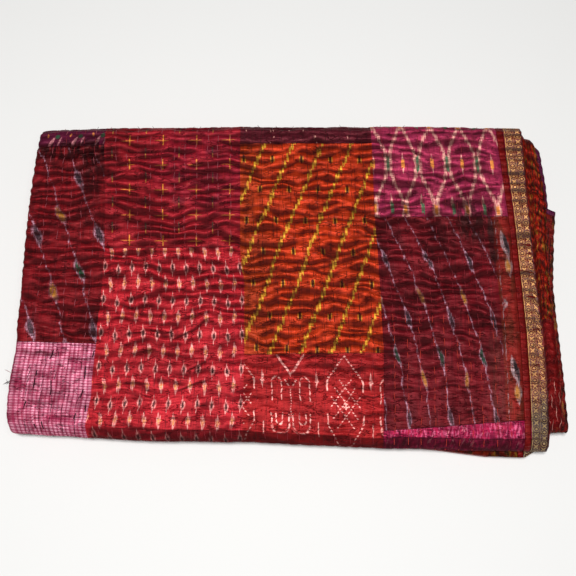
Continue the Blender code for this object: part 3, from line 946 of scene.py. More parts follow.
def draw_rings(u, v, ground, pale, dark, orange):
    """Columns of rings and of spindles with an orange heart."""
    pitch_u, pitch_v = 14.7, 38.9
    spread = (u - 156.0) * (v * 0.0002 + 0.952) + 156.0
    column = dice((spread - 7.0) / pitch_u + 0.5, 3.0)
    broken = grain(u, v, 0.9, 4.5, 9.0).ramp(0.40, 0.56)
    ru = spread.centred(pitch_u, 9.0)
    rv = v.centred(pitch_v, 10.2) + column * 5.0 - 2.5
    ring = oval(ru, rv, 2.6, 5.2, 0.25) * (broken * 0.65 + 0.12)
    heart = oval(ru, rv, 1.25, 3.6, 0.35)
    tails = lozenge(ru + 0.5, rv, 1.0, 11.0) * (broken * 0.8 + 0.1)
    su = spread.centred(pitch_u, 9.0 + 0.45 * pitch_u)
    sv = v.centred(pitch_v, 28.6) + column * 5.0 - 2.5
    sides = abs(abs(su) - 1.7).below(0.45, 0.3) * abs(sv + column * 3.0 - 1.5).below(4.2, 1.2)
    spindle = lozenge(su, sv, 1.9, 9.6, 0.35).most(sides) * (broken * 0.80 + 0.04)
    stem = box(su + 0.3, sv + column - 0.5, 0.5, 8.0, 0.3) * (broken * 0.4 + 0.5)
    level = box(su - 0.4, sv + 0.4, 2.6, 0.5, 0.35)
    middle = box(su, sv - 0.2, 0.95, 3.4, 0.5).most(level) * (broken * 0.5 + 0.38)
    streak = grain(u, v, 2.2, 50.0, 17.0).ramp(0.50, 0.75) * 0.45
    colour = laid(
        ground, (streak, "6a0e18"), (tails.most(ring), pale), (heart * 0.9, dark),
        (spindle.most(stem), pale), (middle, orange))
    return colour, ring.most(spindle)


def draw_specks(u, v, ground, pale, _, streaked):
    """Scattered pale specks on streaked plum."""
    cu, cv = u.centred(17.0, 4.0), v.centred(9.0, 5.0)
    chance = dice(u / 17.0 + (v / 9.0).floor() * 7.0, 1.0)
    speck = oval(cu + chance * 12.0 - 6.0, cv, 0.7, 1.1) * chance.above(0.45, 0.02)
    streak = grain(u, v, 2.0, 30.0, 3.0).ramp(0.50, 0.72) * 0.5
    return laid(ground, (streak, streaked), (speck * 0.75, pale)), speck


def draw_wedges(u, v, ground, pale, orange, green):
    """Leaning wedges over a row of spots."""
    low = v.above(2.0, 1.0)
    wedge = lozenge(u.centred(30.0, 12.0) + v * 0.55, v - 9.0, 2.4, 9.5) * low
    thin = lozenge(u.centred(30.0, 21.0) + v * 0.4, v - 7.0, 1.3, 8.0) * 0.7 * low
    spots = oval(u.centred(30.0, 15.0), v - 1.0, 3.0, 3.0) * 0.85
    dots = oval(u.centred(30.0, 2.0), v + 1.0, 1.4, 2.6) * 0.8
    streak = grain(u, v, 2.0, 22.0, 3.0).ramp(0.45, 0.72) * 0.4
    colour = laid(
        ground, (streak, "2e0a20"), (wedge.most(thin) * 0.75, pale), (spots, green), (dots, orange))
    return colour, wedge


def draw_diagonals(u, v, ground, yellow, dark, shade):
    """Slanting yellow bands stepped thread by thread, with dark cores between them."""
    pitch_u, slope, thread, first = 33.2, 0.404, 2.9, 47.3
    wobble = grain(u, v, 30.0, 22.0, 2.0, 1.0) * 5.0 - 2.5
    strength = grain(u, v, 3.0, 7.0, 6.0).ramp(0.34, 0.56, 0.35, 1.0)
    steps = (u / thread).floor()
    jump = dice(steps + (v / 41.0).floor() * 57.0, 5.0) * 4.4 - 2.2
    middle_u = (steps + 0.5) * thread + wobble
    fall = (v + middle_u / slope + jump).centred(pitch_u / slope, first / slope)
    across = abs((u / thread).wrap(1.0) - 0.5) * thread
    yellows = abs(fall).below(4.3, 0.9) * across.below(1.25, 0.25) * strength
    edges = abs(fall + 2.2).below(6.4, 1.4) * across.below(1.35, 0.2) * 0.45
    rows = v.centred(37.4, 33.5)
    between = (u + (v - rows) * slope).centred(pitch_u, first + pitch_u / 2)
    flanks = box(between, rows, 2.5, 3.2, 0.3) * (strength * 0.45 + 0.15)
    core = box(between, rows + strength * 1.5 - 1.0, 1.35, 4.6, 0.4)
    olive = (u * -1.0).above(28.0, 24.0) * 0.35
    vertical = grain(u, v, 1.1, 22.0, 13.0).ramp(0.54, 0.68) * 0.40
    colour = laid(
        ground, (grain(u, v, 5.0, 60.0, 3.0).ramp(0.45, 0.70) * 0.45, shade), (olive, "4c2c0c"),
        (vertical, "4a1206"), (edges, "4a3008"), (yellows.most(flanks), yellow), (core * 0.92, dark))
    return colour, yellows


def dotted(place, pitch):
    """Mask of the dots along a stitched-looking outline."""
    return abs(place.centred(pitch)).below(pitch * 0.26, 0.3)


def arch(place_u, place_v, half_u, half_v, legs, thick):
    """Mask of an arch whose round end is towards positive V, with two straight legs."""
    round_end = ((place_u / half_u).power(2.0) + (place_v / half_v).power(2.0)).power(0.5)
    bow = abs(round_end - 1.0).below(thick / half_u, 0.12) * place_v.above(0.0, 0.4)
    sides = abs(abs(place_u) - half_u).below(thick, 0.3) * abs(place_v + legs / 2).below(legs / 2, 0.5)
    return bow.most(sides)


def draw_outlines(u, v, ground, pale, dark, shade):
    """Dotted outlines of hexagons, loops and crosses."""
    pitch, first, thin = 59.0, 49.3, 0.62
    uneven = grain(u, v, 9.0, 9.0, 15.0, 1.0) - 0.5
    u = u - v * 0.032 - 0.3 + uneven * 3.0
    v = v + uneven * 2.0
    du = u.centred(2 * pitch, first)
    eu = abs(u.centred(2 * pitch, first + pitch))
    # A hexagon with a small lattice in it.
    roof = abs(eu * 1.35 - v + 6.4).below(1.5, 0.5) * eu.below(19.2, 0.3) * dotted(v, 3.3)
    sides = box(eu - 19.4, v - 38.8, 0.85, 6.2).most(box(eu - 19.4, v - 75.0, 0.7, 5.2))
    foot = abs(eu * 1.9 + v - 117.0).below(1.7, 0.5) * v.above(80.0) * dotted(v, 4.2)
    middle_u, middle_v = u.centred(2 * pitch, first + pitch), v - 60.5
    falling, rising = middle_u - middle_v * 0.75, middle_u + middle_v * 0.75
    one = abs(falling.centred(11.6, 3.2)).below(0.8, 0.4) * abs(falling - 3.2).below(14.0)
    other = abs(rising.centred(11.6, -3.2)).below(0.8, 0.4) * abs(rising + 3.2).below(14.0)
    inside = (eu + (abs(middle_v) - 10.0).most(0.0) * 0.52).below(16.3) * abs(middle_v).below(29.5)
    lattice = one.most(other) * dotted(v, 3.2) * inside
    heart = box(eu, middle_v, 0.7, 3.4).most(box(eu, middle_v - 1.0, 2.4, 0.7))
    # A V over two pairs of loops, and a dotted stem between them.
    du = abs(du)
    vee = abs(du * 1.46 + v - 28.4).below(2.0, 0.6) * du.below(15.4)
    vee = vee * dotted(v, 3.4).ramp(0.0, 1.0, 0.55, 1.0)
    small = abs(du * 1.67 + v - 44.5).below(1.6, 0.5) * abs(v - 38.0).below(5.0) * dotted(v, 4.4)
    upper = arch(du - 15.2, v * -1.0 + 38.0, 5.3, 6.6, 19.0, thin)
    lower = arch(du - 11.5, v - 83.0, 9.2, 10.0, 12.0, thin + 0.15)
    nested = arch(du - 12.4, v - 77.5, 3.7, 5.0, 8.0, thin)
    loops = upper.most(lower).most(nested) * abs((v - du * 0.9).centred(7.4)).below(2.7, 0.5)
    stem = du.below(0.6, 0.3) * abs(v - 60.0).below(16.0) * dotted(v, 3.0)
    # A cross and a short upright dash between the figures.
    cu, cv = u.centred(pitch, first + pitch / 2 - 1.2), v - 33.5
    cross = lozenge(cu, cv, 1.4, 9.5, 0.4).most(box(cu, cv - 1.6, 2.4, 0.8))
    post = box(cu - 1.2, v - 87.0, thin, 7.6)
    figures = roof.most(sides).most(foot).most(lattice).most(heart)
    marks = figures.most(vee).most(small).most(loops).most(stem).most(cross * 0.9).most(post * 0.8)
    worn = grain(u, v, 4.0, 9.0, 5.0).ramp(0.32, 0.56, 0.30, 1.0)
    colour = laid(
        ground, (grain(u, v, 3.0, 60.0, 7.0).ramp(0.60, 0.80) * 0.5, dark),
        (grain(u, v, 40.0, 30.0, 9.0, 1.0).ramp(0.5, 0.8) * 0.4, shade), (marks * worn, pale))
    return colour, marks


def draw_lattice(u, v, ground, pale, green, orange):
    """Wavy lattice lines with green joins and orange blobs."""
    pitch, half_row = 34.8, 54.2
    rows = v.centred(2 * half_row, 37.8)
    row = abs(rows) / half_row
    spread = row.ramp(0.14, 0.95) * (pitch / 2 - 4.2) + 2.4
    cell = abs(u.centred(pitch, 14.6))
    gap = cell - spread
    uneven = grain(u, v, 2.0, 7.0, 3.0)
    thick = uneven.ramp(0.30, 0.65, 1.0, 2.5)
    lines = (abs(gap) / thick).below(0.9, 0.6) * uneven.ramp(0.30, 0.60, 0.30, 0.9)
    joins = box(u.centred(pitch, 14.6), rows, 1.8, 9.5, 0.5) * uneven.ramp(0.30, 0.50, 0.45, 0.9)
    low = v.centred(2 * half_row, 37.8 + half_row)
    also = box(u.centred(pitch, 17.0), low, 1.8, 6.5, 0.5) * 0.9
    fringe = lozenge(u.centred(pitch / 2, 16.0), low + 7.0, 1.8, 9.0) * uneven.ramp(0.36, 0.52, 0.1, 0.8)
    blob_u, blob_v = u.centred(pitch, 14.6 + pitch / 2), v.centred(half_row, 38.4)
    blobs = box(blob_u, blob_v, 1.9, 5.2, 0.5)
    tips = lozenge(blob_u, blob_v, 1.6, 13.0) * uneven.ramp(0.35, 0.55, 0.1, 0.8)
    murk = grain(u, v, 5.0, 16.0, 11.0).ramp(0.46, 0.70) * 0.35
    streak = grain(u, v, 1.2, 30.0, 19.0).ramp(0.52, 0.70) * 0.30
    colour = laid(
        ground, (murk.most(streak), "5a0e36"), (lines, pale), (tips.most(fringe), pale),
        (joins.most(also), green), (blobs * 0.92, orange))
    return colour, lines.most(blobs)


def draw_drifting(u, v, ground, lilac, dark, mustard, green, pitch, girth, slope, bend, row_pitch):
    """Ikat marks that stand on slanting lines and change colour from row to row."""
    wobble = grain(u, v, 40.0, 22.0, 1.0, 1.0) * 8.0 - 4.0
    along = u - v * slope + v * v * bend + wobble
    number = (along / pitch + 0.5).floor()
    line = along.centred(pitch)
    parity = number.wrap(2.0)
    row_place = v + parity * 25.2
    row_number = (row_place / row_pitch + 0.5).floor()
    cv = row_place.centred(row_pitch)
    kind = abs((row_number + parity * 2.0).wrap(3.0) - parity * 2.0)
    breaks = grain(u, v, 3.0, 6.0, 5.0).ramp(0.44, 0.56)
    fleck = grain(u, v, 1.0, 3.0, 8.0).ramp(0.42, 0.58)
    thread = abs(line + breaks * 1.2 - 0.6).below(0.62, 0.4) * (breaks * 0.62 + 0.06)
    bare = parity * abs(row_number).below(0.5, 0.1)
    marked = bare.away(1.0)
    outline = lozenge(line, cv, 2.9 * girth, 15.0, 0.25) * (fleck * 0.75 + 0.15) * marked
    heart = oval(line - 0.3, cv, 1.85 * girth, 9.0, 0.35) * marked
    blob = oval(line, cv, 2.1 * girth, 8.4, 0.4) * (breaks * 0.3 + 0.65)
    is_mustard = abs(kind - 2.0).below(0.5, 0.1)
    is_green = abs(kind - 1.0).below(0.5, 0.1) * parity.above(0.5, 0.1)
    smoke = oval(line - 3.5, cv + 4.0, 6.0, 19.0, 0.8) * is_mustard.away(1.0) * 0.35
    colour = laid(
        ground, (grain(u, v, 4.0, 40.0, 15.0).ramp(0.45, 0.72) * 0.45, "33090e"),
        (grain(u, v, 1.1, 26.0, 19.0).ramp(0.54, 0.70) * 0.35, "2a080c"), (smoke, "240a10"),
        (thread, lilac), (outline * is_mustard.away(1.0), lilac),
        (heart * is_mustard.away(1.0) * 0.9, dark), (heart * is_green * 0.85, green),
        (outline * is_mustard * 0.5, lilac), (blob * is_mustard, mustard))
    return colour, thread.most(outline)


def draw_edge_marks(u, v, ground, pale, dark, mustard):
    """The few large marks beside the binding."""
    u = u - 2.0
    first = v.centred(142.0, 6.0)
    slanted = u - first * 0.20
    second = v.centred(142.0, 30.0)
    third = v.centred(142.0, 72.0)
    rim = lozenge(slanted + 0.8, first, 4.4, 17.0)
    rim = rim * grain(u, v, 1.5, 5.0, 3.0).ramp(0.35, 0.55, 0.3, 0.9)
    core = oval(slanted - 1.0, first + 1.0, 2.4, 10.5, 0.35)
    gold_rim = lozenge(u - 1.5, second, 4.2, 14.0) * grain(u, v, 1.2, 9.0, 8.0).ramp(0.35, 0.6) * 0.7
    gold = oval(u - 0.5, second - 1.0, 2.8, 6.5, 0.5) * 0.8
    far = lozenge(u + 6.0 + third * 0.25, third - 2.0, 2.8, 9.0)
    far = far * grain(u, v, 1.5, 5.0, 6.0).ramp(0.4, 0.6)
    margin = abs(u + 9.5).below(0.6, 0.5) * grain(u, v, 3.0, 6.0, 4.0).ramp(0.48, 0.60) * 0.6
    olive = grain(u, v, 8.0, 30.0, 8.0).ramp(0.42, 0.66) * 0.6
    colour = laid(
        ground, (olive, "33200f"), (margin.most(far * 0.7), pale), (rim.most(gold_rim) * 0.9, pale),
        (core * 0.95, dark), (gold, mustard))
    return colour, rim


def draw_flames(u, v, ground, pale, dark, edge):
    """Small pale licks that die out in a dark hem."""
    flame = grain(u, v, 2.2, 8.0, 2.0)
    slant = grain(u + v * 0.5, v, 2.6, 14.0, 6.0)
    murk = grain(u, v, 3.6, 9.0, 12.0)
    licks = flame.ramp(0.52, 0.62) * 0.38 + slant.ramp(0.58, 0.68) * 0.24
    lower = (v + murk * 9.0 - 4.5).above(15.5, 2.5)
    colour = laid(
        ground, (murk.ramp(0.46, 0.58) * 0.58, dark), (licks * lower.away(1.12), pale),
        (lower * (murk.ramp(0.35, 0.55) * 0.40 + 0.18), dark), (slant.ramp(0.62, 0.70) * 0.5, edge))
    return colour, licks


def draw_rust_ikat(u, v, ground, yellow, dark, shade):
    """Yellow and dark blots on streaked rust."""
    streak = grain(u, v, 12.0, 4.0, 3.0)
    blot = grain(u, v, 13.0, 20.0, 9.0)
    fine = grain(u, v, 2.4, 8.0, 19.0).ramp(0.30, 0.50)
    colour = laid(
        ground, (streak.ramp(0.46, 0.70) * 0.7, shade), (blot.ramp(0.54, 0.61) * fine * 0.75, yellow),
        (grain(u, v, 8.0, 12.0, 5.0).ramp(0.48, 0.58) * 0.85, dark))
    return colour, blot


def draw_dashes(u, v, ground, pale, dark, shade):
    """Clouded silk with a few upright dashes."""
    cu, cv = u.centred(17.0, 3.0), (v + (u / 17.0).floor() * 13.0).centred(31.0)
    dash = lozenge(cu, cv, 1.3, 9.0) * v.above(300.0, 2.0) * 0.8
    colour = laid(
        ground, (grain(u, v, 30.0, 20.0, 3.0).ramp(0.45, 0.70) * 0.5, shade),
        (grain(u, v, 2.5, 40.0, 5.0).ramp(0.58, 0.75) * 0.4, dark), (dash, pale))
    return colour, dash


PATTERNS = [draw_check, draw_crosses, draw_rings, draw_specks, draw_wedges, draw_edge_marks,
            draw_diagonals, draw_outlines, draw_lattice, draw_flames, draw_rust_ikat, draw_dashes]


# The two ikats with drifting marks: pitch along U, girth of a mark, slope and bend of the
# lines that the marks stand on, and pitch along V.
DRIFTS = {
    "drifting": (23.4, 1.0, 0.36, 0.00070, 66.5),
    "wide_drifting": (33.3, 1.7, 0.37, 0.00022, 69.5),
}
PLACE = [("U", "value"), ("V", "value")]


def make_pattern_groups():
    """One node group for each pattern, with its colours as inputs."""
    inputs = PLACE + [(name, "colour") for name in ("Ground", "Mark", "Second mark", "Third mark")]
    outputs = [("Colour", "colour"), ("Raised", "value")]
    groups = {}
    for draw in PATTERNS:
        name = draw.__name__.removeprefix("draw_")
        groups[name] = make_group(f"{name} pattern", inputs, outputs, draw)
    for name, shape in DRIFTS.items():
        groups[name] = make_group(f"{name} pattern", inputs + [("Fourth mark", "colour")], outputs,
                                  lambda *values: draw_drifting(*values, *shape))
    return groups


def draw_threads(u, v):
    """Ragged ends of dyed warp threads: how far each thread is shifted along itself."""
    fine = dice(u / WEAVE_PITCH, 17.0) - 0.5
    bundle = grain(u, v, 2.2, 60.0, 12.0, 1.0) - 0.5
    return [fine * 3.0 + bundle * 5.0]


def draw_silk(u, v, colour, valley, raised):
    """Slubs, weave and small creases of used silk, with painted shade in the deep valleys and small creases,
    and crests paled partly by wear and partly as a painted sheen highlight.
    """
    slub = grain(u, v, 9.0, 1.1, 21.0)
    streak = grain(u, v, 0.8, 34.0, 31.0)
    worn = grain(u, v, 60.0, 42.0, 41.0, 3.0)
    fine = grain(u, v, 1.8, 1.4, 35.0)
    tone = (slub - 0.5) * 0.12 + (streak - 0.5) * 1.0 + (worn - 0.5) * 1.0 + (fine - 0.5) * 0.44 + 0.985
    # Painted shade: the deeper in a valley, the nearer the silk goes to the shade colour.
    dark = valley.ramp(0.10, 0.95)
    shade = mixed(dark * 0.78, colour, VALLEY_SHADE_COLOUR)
    bright = shade.tree.nodes.new("ShaderNodeHueSaturation")
    connect(shade.tree, tone, bright.inputs["Value"])
    connect(shade.tree, shade, bright.inputs["Color"])
    worn_and_shaded = Value(shade.tree, bright.outputs[0])
    # Crests paled: partly wear, partly a painted sheen highlight.
    rubbed_and_sheen = valley.below(0.10, 0.10) * grain(u, v, 12.0, 2.2, 51.0, 3.0).ramp(0.56, 0.78) * 0.14
    worn_and_shaded = mixed(rubbed_and_sheen, worn_and_shaded, WORN_AND_SHEEN_COLOUR)
    crease = grain(u, v, 17.0, 4.0, 61.0, 1.5)
    crumple = grain(u, v, 6.0, 2.4, 71.0, 1.0)
    broken = grain(u, v, 13.0, 9.0, 91.0, 1.0).ramp(0.45, 0.60)
    # Thin dark crease lines: painted shade, which also dip the relief.
    fold = abs(grain(u, v, 11.0, 3.4, 81.0, 1.5) - 0.5).below(0.020, 0.022) * broken
    worn_and_shaded = mixed(fold * 0.62, worn_and_shaded, CREASE_SHADE_COLOUR)
    weave = (u * (math.tau / WEAVE_PITCH)).sine() * (v * (math.tau / WEAVE_PITCH)).sine()
    height = crease * 0.68 + crumple * 0.24 + weave * 0.012 + raised * 0.05 + slub * 0.02 - fold * 0.30
    rough = slub * 0.16 + 0.40 + dark * 0.25
    return [worn_and_shaded, height, rough]


def make_shared_groups():
    """The groups that every silk uses."""
    silk_inputs = PLACE + [("Colour", "colour"), ("Valley", "value"), ("Raised", "value")]
    silk_outputs = [("Colour", "colour"), ("Height", "value"), ("Roughness", "value")]
    return {
        "threads": make_group("ragged warp threads", PLACE, [("Shift", "value")], draw_threads),
        "silk": make_group("used silk with painted shade", silk_inputs, silk_outputs, draw_silk),
    }


def new_material(name):
    """An empty material, its tree and its Principled shader."""
    material = bpy.data.materials.new(name)
    material.use_nodes = True
    return material, material.node_tree, material.node_tree.nodes["Principled BSDF"]


def millimetres(tree, socket):
    """The first two coordinates of a place, in millimetres."""
    parts = tree.nodes.new("ShaderNodeSeparateXYZ")
    tree.links.new(socket, parts.inputs[0])
    return Value(tree, parts.outputs[0]) * 1000.0, Value(tree, parts.outputs[1]) * 1000.0


def map_place(tree):
    """U and V in millimetres from the UV map."""
    uv = tree.nodes.new("ShaderNodeUVMap")
    uv.uv_map = "cloth"
    return millimetres(tree, uv.outputs[0])


def painted_valley_shade(tree):
    """The depth in a valley that the mesh holds, which darkens the silk as painted shade."""
    valley = tree.nodes.new("ShaderNodeAttribute")
    valley.attribute_name = "valley"
    return Value(tree, valley.outputs["Fac"])


def finish_surface(tree, shader, colour, height, rough, distance):
    """Feed a surface's colour, roughness and relief to its shader."""
    connect(tree, colour, shader.inputs["Base Color"])
    connect(tree, rough, shader.inputs["Roughness"])
    bump = tree.nodes.new("ShaderNodeBump")
    bump.inputs["Strength"].default_value = 1.0
    bump.inputs["Distance"].default_value = distance
    connect(tree, height, bump.inputs["Height"])
    tree.links.new(bump.outputs[0], shader.inputs["Normal"])


SILK_GLOSS = {
    "Metallic": 0.30,
    "Specular IOR Level": 0.22,
    "Specular Tint": (1.0, 0.45, 0.45, 1.0),
    "Sheen Weight": 0.02,
    "Sheen Roughness": 0.35,
    "Sheen Tint": (1.0, 0.45, 0.45, 1.0),
}


def silk_gloss(shader):
    """The soft coloured gloss of silk."""
    for name, value in SILK_GLOSS.items():
        shader.inputs[name].default_value = value


Patch = namedtuple("Patch", "start pattern colours slope shift_u shift_v feather left",
                   defaults=(0.0, 0.0, 0.0, 1.0, None))
Shade = namedtuple("Shade", "u v half_u half_v colour amount")
SEAM_DARK = (0.020, 0.002, 0.006)


def patched_material(name, groups, patches, shades=()):
    """A silk of several patches along V. Each starts at a V, which may slope along U.

    A patch with a left edge covers only the cloth to the right of it. Shades are soft blots of colour: most
    are stains, and some are painted shade.
    """
    material, tree, shader = new_material(name)
    u, v = map_place(tree)
    ragged, = place_group(tree, groups["threads"], u, v)
    colour = raised = edge = None
    for patch in patches:
        here_u, here_v = u - patch.shift_u, v + ragged * patch.feather - patch.shift_v
        drawn, marks = place_group(tree, groups[patch.pattern], here_u, here_v, *patch.colours)
        if colour is None:
            colour, raised = drawn, marks
            continue
        seam = v - u * patch.slope - patch.start + (grain(u, v, 9.0, 400.0, 2.5, 1.0) - 0.5) * 1.6
        mask = seam.above(0.0, 0.25)
        line = abs(seam + 0.5).below(0.45, 0.35)
        if patch.left is not None:
            side = (u - patch.left + (grain(u, v, 400.0, 12.0, 2.5, 1.0) - 0.5) * 2.0).above(0.0, 0.4)
            mask, line = mask * side, line * 0.0
        colour, raised = mixed(mask, colour, drawn), raised * mask.away(1.0) + marks * mask
        edge = line if edge is None else edge.most(line)
    for shade in shades:
        blot = oval(u - shade.u, v - shade.v, shade.half_u, shade.half_v, 0.45)
        patchy = grain(u, v, 5.0, 14.0, 13.0).ramp(0.25, 0.60)
        colour = mixed(blot * patchy * shade.amount, colour, shade.colour)
    if edge is not None:
        colour = mixed(edge * 0.6, colour, SEAM_DARK)
        raised = raised - edge * 3.0
    colour, height, rough = place_group(tree, groups["silk"], u, v, colour, painted_valley_shade(tree), raised)
    finish_surface(tree, shader, colour, height, rough, 1.5 * MM)
    silk_gloss(shader)
    return material


PALE_PINK, PALE_LILAC, ROSE = "e0a094", "b88ca0", "c88086"
INK, SOOT, MOSS = "100c0e", "16181c", "1e4a32"
MUSTARD, GOLD, AMBER = "a86e20", "cc962c", "c8783c"


def cloth_materials(colours, groups):
    """The silks: four columns of patches, then the turned-under plies and the far side."""
    dark_crimson, deep_red = "3c0812", "4e0a10"
    wide = (colours.maroon, PALE_LILAC, SOOT, MUSTARD, MOSS)
    first = patched_material("silk_left_column", groups, [
        Patch(-400.0, "wide_drifting", wide, shift_u=-214.0, shift_v=30.0),
        Patch(-200.0, "rings", (colours.scarlet, PALE_PINK, INK, AMBER)),
        Patch(-45.0, "wedges", ("561430", ROSE, AMBER, MOSS), shift_u=-290.0, feather=0.4),
        Patch(17.0, "wide_drifting", wide, slope=0.012, shift_u=-243.4, shift_v=57.5),
        Patch(256.8, "check", (colours.check_ground, colours.check, "e4a2b6", "84183c"), feather=0.12),
        Patch(420.0, "diagonals", (colours.orange, GOLD, INK, deep_red)),
    ], [Shade(-228.0, 50.0, 13.0, 32.0, "0c0608", 0.75),
        # Painted shade along the back edge of the left column.
        Shade(-250.0, 20.0, 60.0, 14.0, "140002", 1.0),
        Shade(-222.0, 232.0, 14.0, 22.0, "0c0608", 0.5),
        # Painted shade down the steep side of the left fold.
        Shade(-308.0, 300.0, 7.0, 60.0, "2a1c0c", 0.9)])
    second = patched_material("silk_second_column", groups, [
        Patch(-400.0, "dashes", (colours.wine, PALE_LILAC, INK, deep_red)),
        Patch(-200.0, "lattice", (colours.magenta, PALE_PINK, MOSS, AMBER)),
        Patch(-60.0, "crosses", (colours.crimson, "d88c34", "2c3a2c", "24080e"),
              shift_u=-212.0, feather=0.10),
        Patch(140.0, "rings", (colours.scarlet, "e8a09a", INK, "d88848"),
              slope=-0.015, shift_u=-212.0, shift_v=156.3, feather=0.6),
        Patch(440.0, "flames", (colours.fuchsia, PALE_PINK, dark_crimson, PALE_PINK), shift_v=440.0),
    ], [Shade(-85.0, 40.0, 70.0, 60.0, "640c30", 0.26)])
    third = patched_material("silk_third_column", groups, [
        Patch(-400.0, "rings", (colours.brick, PALE_PINK, INK, AMBER)),
        Patch(-190.0, "specks", (colours.plum, PALE_PINK, INK, "2c0c1c")),
        Patch(13.4, "diagonals", (colours.orange, GOLD, "140c08", "6c1608")),
        Patch(263.8, "outlines", (colours.brick, "e8a29a", "4c0a0c", "6a0c10"),
              slope=-0.045, shift_u=-53.5, shift_v=258.0, feather=0.30),
        Patch(400.0, "crosses", (colours.crimson, GOLD, MOSS, dark_crimson)),
    ])
    fourth = patched_material("silk_fourth_column", groups, [
        Patch(-400.0, "diagonals", (colours.rust, GOLD, INK, deep_red)),
        Patch(-180.0, "lattice", (colours.magenta, PALE_PINK, "3a7050", "d88434"), shift_u=102.0),
        Patch(105.6, "drifting", (colours.wine, PALE_LILAC, SOOT, MUSTARD, "1c4436"),
              slope=-0.020, shift_u=106.5, shift_v=154.0),
        Patch(105.6, "edge_marks", (colours.rust, "a08c90", SOOT, MUSTARD),
              slope=-0.020, shift_u=240.0, shift_v=127.5, left=229.5),
        Patch(352.5, "flames", (colours.fuchsia, "e07098", "480826", ROSE),
              slope=-0.094, shift_u=98.5, shift_v=333.0),
        Patch(460.0, "rust_ikat", ("6a180c", "86601c", INK, "3e0c08")),
    ], [Shade(206.0, 106.0, 21.0, 26.0, "100c0a", 0.85),
        Shade(228.0, 132.0, 5.0, 34.0, "0c1210", 0.8),
        Shade(170.0, 120.0, 14.0, 30.0, "14080a", 0.4),
        Shade(224.0, 290.0, 11.0, 60.0, "54342a", 0.32),
        Shade(150.0, 300.0, 66.0, 52.0, "3a0810", 0.30)])
    turned = patched_material("silk_turned_plies", groups, [
        Patch(-400.0, "diagonals", (colours.rust, GOLD, INK, deep_red)),
        Patch(-40.0, "specks", ("4c1434", PALE_PINK, INK, "280a20")),
        Patch(85.0, "rust_ikat", ("6a1410", "6c4c20", "1c0a08", "3c0a06")),
        Patch(420.0, "rings", (colours.crimson, PALE_PINK, INK, AMBER)),
    ])
    far_side = patched_material("silk_far_side", groups, [
        Patch(-400.0, "crosses", (colours.crimson, GOLD, MOSS, dark_crimson)),
        Patch(-30.0, "rust_ikat", ("941806", "7e601a", "140a04", "440602")),
        Patch(226.0, "dashes", ("680808", PALE_PINK, INK, "420506")),
        Patch(420.0, "rust_ikat", ("74280e", "86601c", INK, "4a1408")),
    ])
    return [first, second, third, fourth, turned, far_side]


TURNED_SILK, FAR_SILK = 4, 5                # after those of the four columns of patches
TURNED_FROM, BARE_END_FROM = S_FOURTH + 0.3, S_SECOND + 0.8


def silk_of_faces(mesh, s, outer, u):
    """Which silk each face of the cloth has."""
    side = face_mean(mesh, outer.astype(float))
    middle_s, middle_u = face_mean(mesh, s), face_mean(mesh, u)
    silk = sum((middle_u > seam).astype(int) for seam in SEAM_PLACES[1:-1])
    silk[middle_s > TURNED_FROM] = TURNED_SILK
    silk[(side < 0.25) & (middle_s > 0.5)] = FAR_SILK
    silk[middle_s > BARE_END_FROM] = FAR_SILK
    return silk


def make_cloth(sizes, colours):
    """The whole folded cloth as one closed sheet."""
    bm = slab(stations(PLIES), stations(PACKETS))

    def rippled(place):
        return place.z > 0.5 and place.x < S_FOURTH - 0.1

    def ends(place):
        left = S_LEFT_FOLD - NEAR < place.x < S_FOURTH + NEAR
        right = S_TURNED - 0.1 < place.x < S_THIRD + 0.1 or place.x > S_SECOND + 0.81
        return left or right

    def lower_ends(place):
        return ends(place) and not rippled(place)

    def exposed(place):
        return T_BACK_FOLD - NEAR < place.y < T_SECOND + NEAR

    def top_face(place):
        return place.z > 0.5 and exposed(place)

    # Axis, from, to, number of cuts and which edges.
    for division in (
            (1, T_TOP_RUN, T_TOP_RUN + 1, ROWS_PER_RIPPLE - 1, rippled),
            (1, T_TOP_RUN, T_TOP_RUN + 1, 6, lower_ends),
            (1, T_BACK_FOLD, T_TOP_RUN, 5, rippled),
            (1, T_FRONT_FOLD, T_SECOND, 3, rippled),
            (1, 0, T_BACK_FOLD, 11, ends),
            (1, T_SECOND, T_INSIDE, 11, ends),
            (1, T_THIRD, len(PACKETS), 11, ends),
            (0, S_TOP_RUN, S_LEFT_FOLD, COLUMNS_PER_STITCH - 1, top_face),
            (0, S_SECOND + 9 / 11, S_SECOND + 1, 2, exposed)):
        cut(bm, *division)
    s, t, outer = parameters(bm)
    places, u, v, valley = cloth_place(s, t, outer, sizes)
    mesh = finish_mesh("quilt_cloth", bm, places)
    write_map(mesh, u, v, valley)
    silks = cloth_materials(colours, {**make_pattern_groups(), **make_shared_groups()})
    cloth = add_piece("quilt_cloth", mesh, silks, "silk_patchwork", "quilt")
    mesh.polygons.foreach_set("material_index", silk_of_faces(mesh, s, outer, u))
    return cloth


# ---- The sewn trim ----

def trim_material(name, colours):
    """Plain red silk, gathered a little by its stitches."""
    material, tree, shader = new_material(name)
    u, v = map_place(tree)
    groups = bpy.data.node_groups
    pucker = grain(u, v, 12.0, 2.4, 3.0)
    colour = mixed(pucker.ramp(0.35, 0.70) * 0.5, colours.binding, "500806")
    colour, height, rough = place_group(tree, groups["used silk with painted shade"], u, v, colour, painted_valley_shade(tree), pucker)
    finish_surface(tree, shader, colour, height, rough, 1.0 * MM)
    silk_gloss(shader)
    return material


# The ribbon's roundels, in millimetres: their pitch, and for each column its middle, its first
# place and how full of scrolls it is.
ROUNDEL_PITCH = 13.0
ROUNDEL_COLUMNS = ((4.8, 0.0, 0.36), (12.9, 3.1, 0.14))


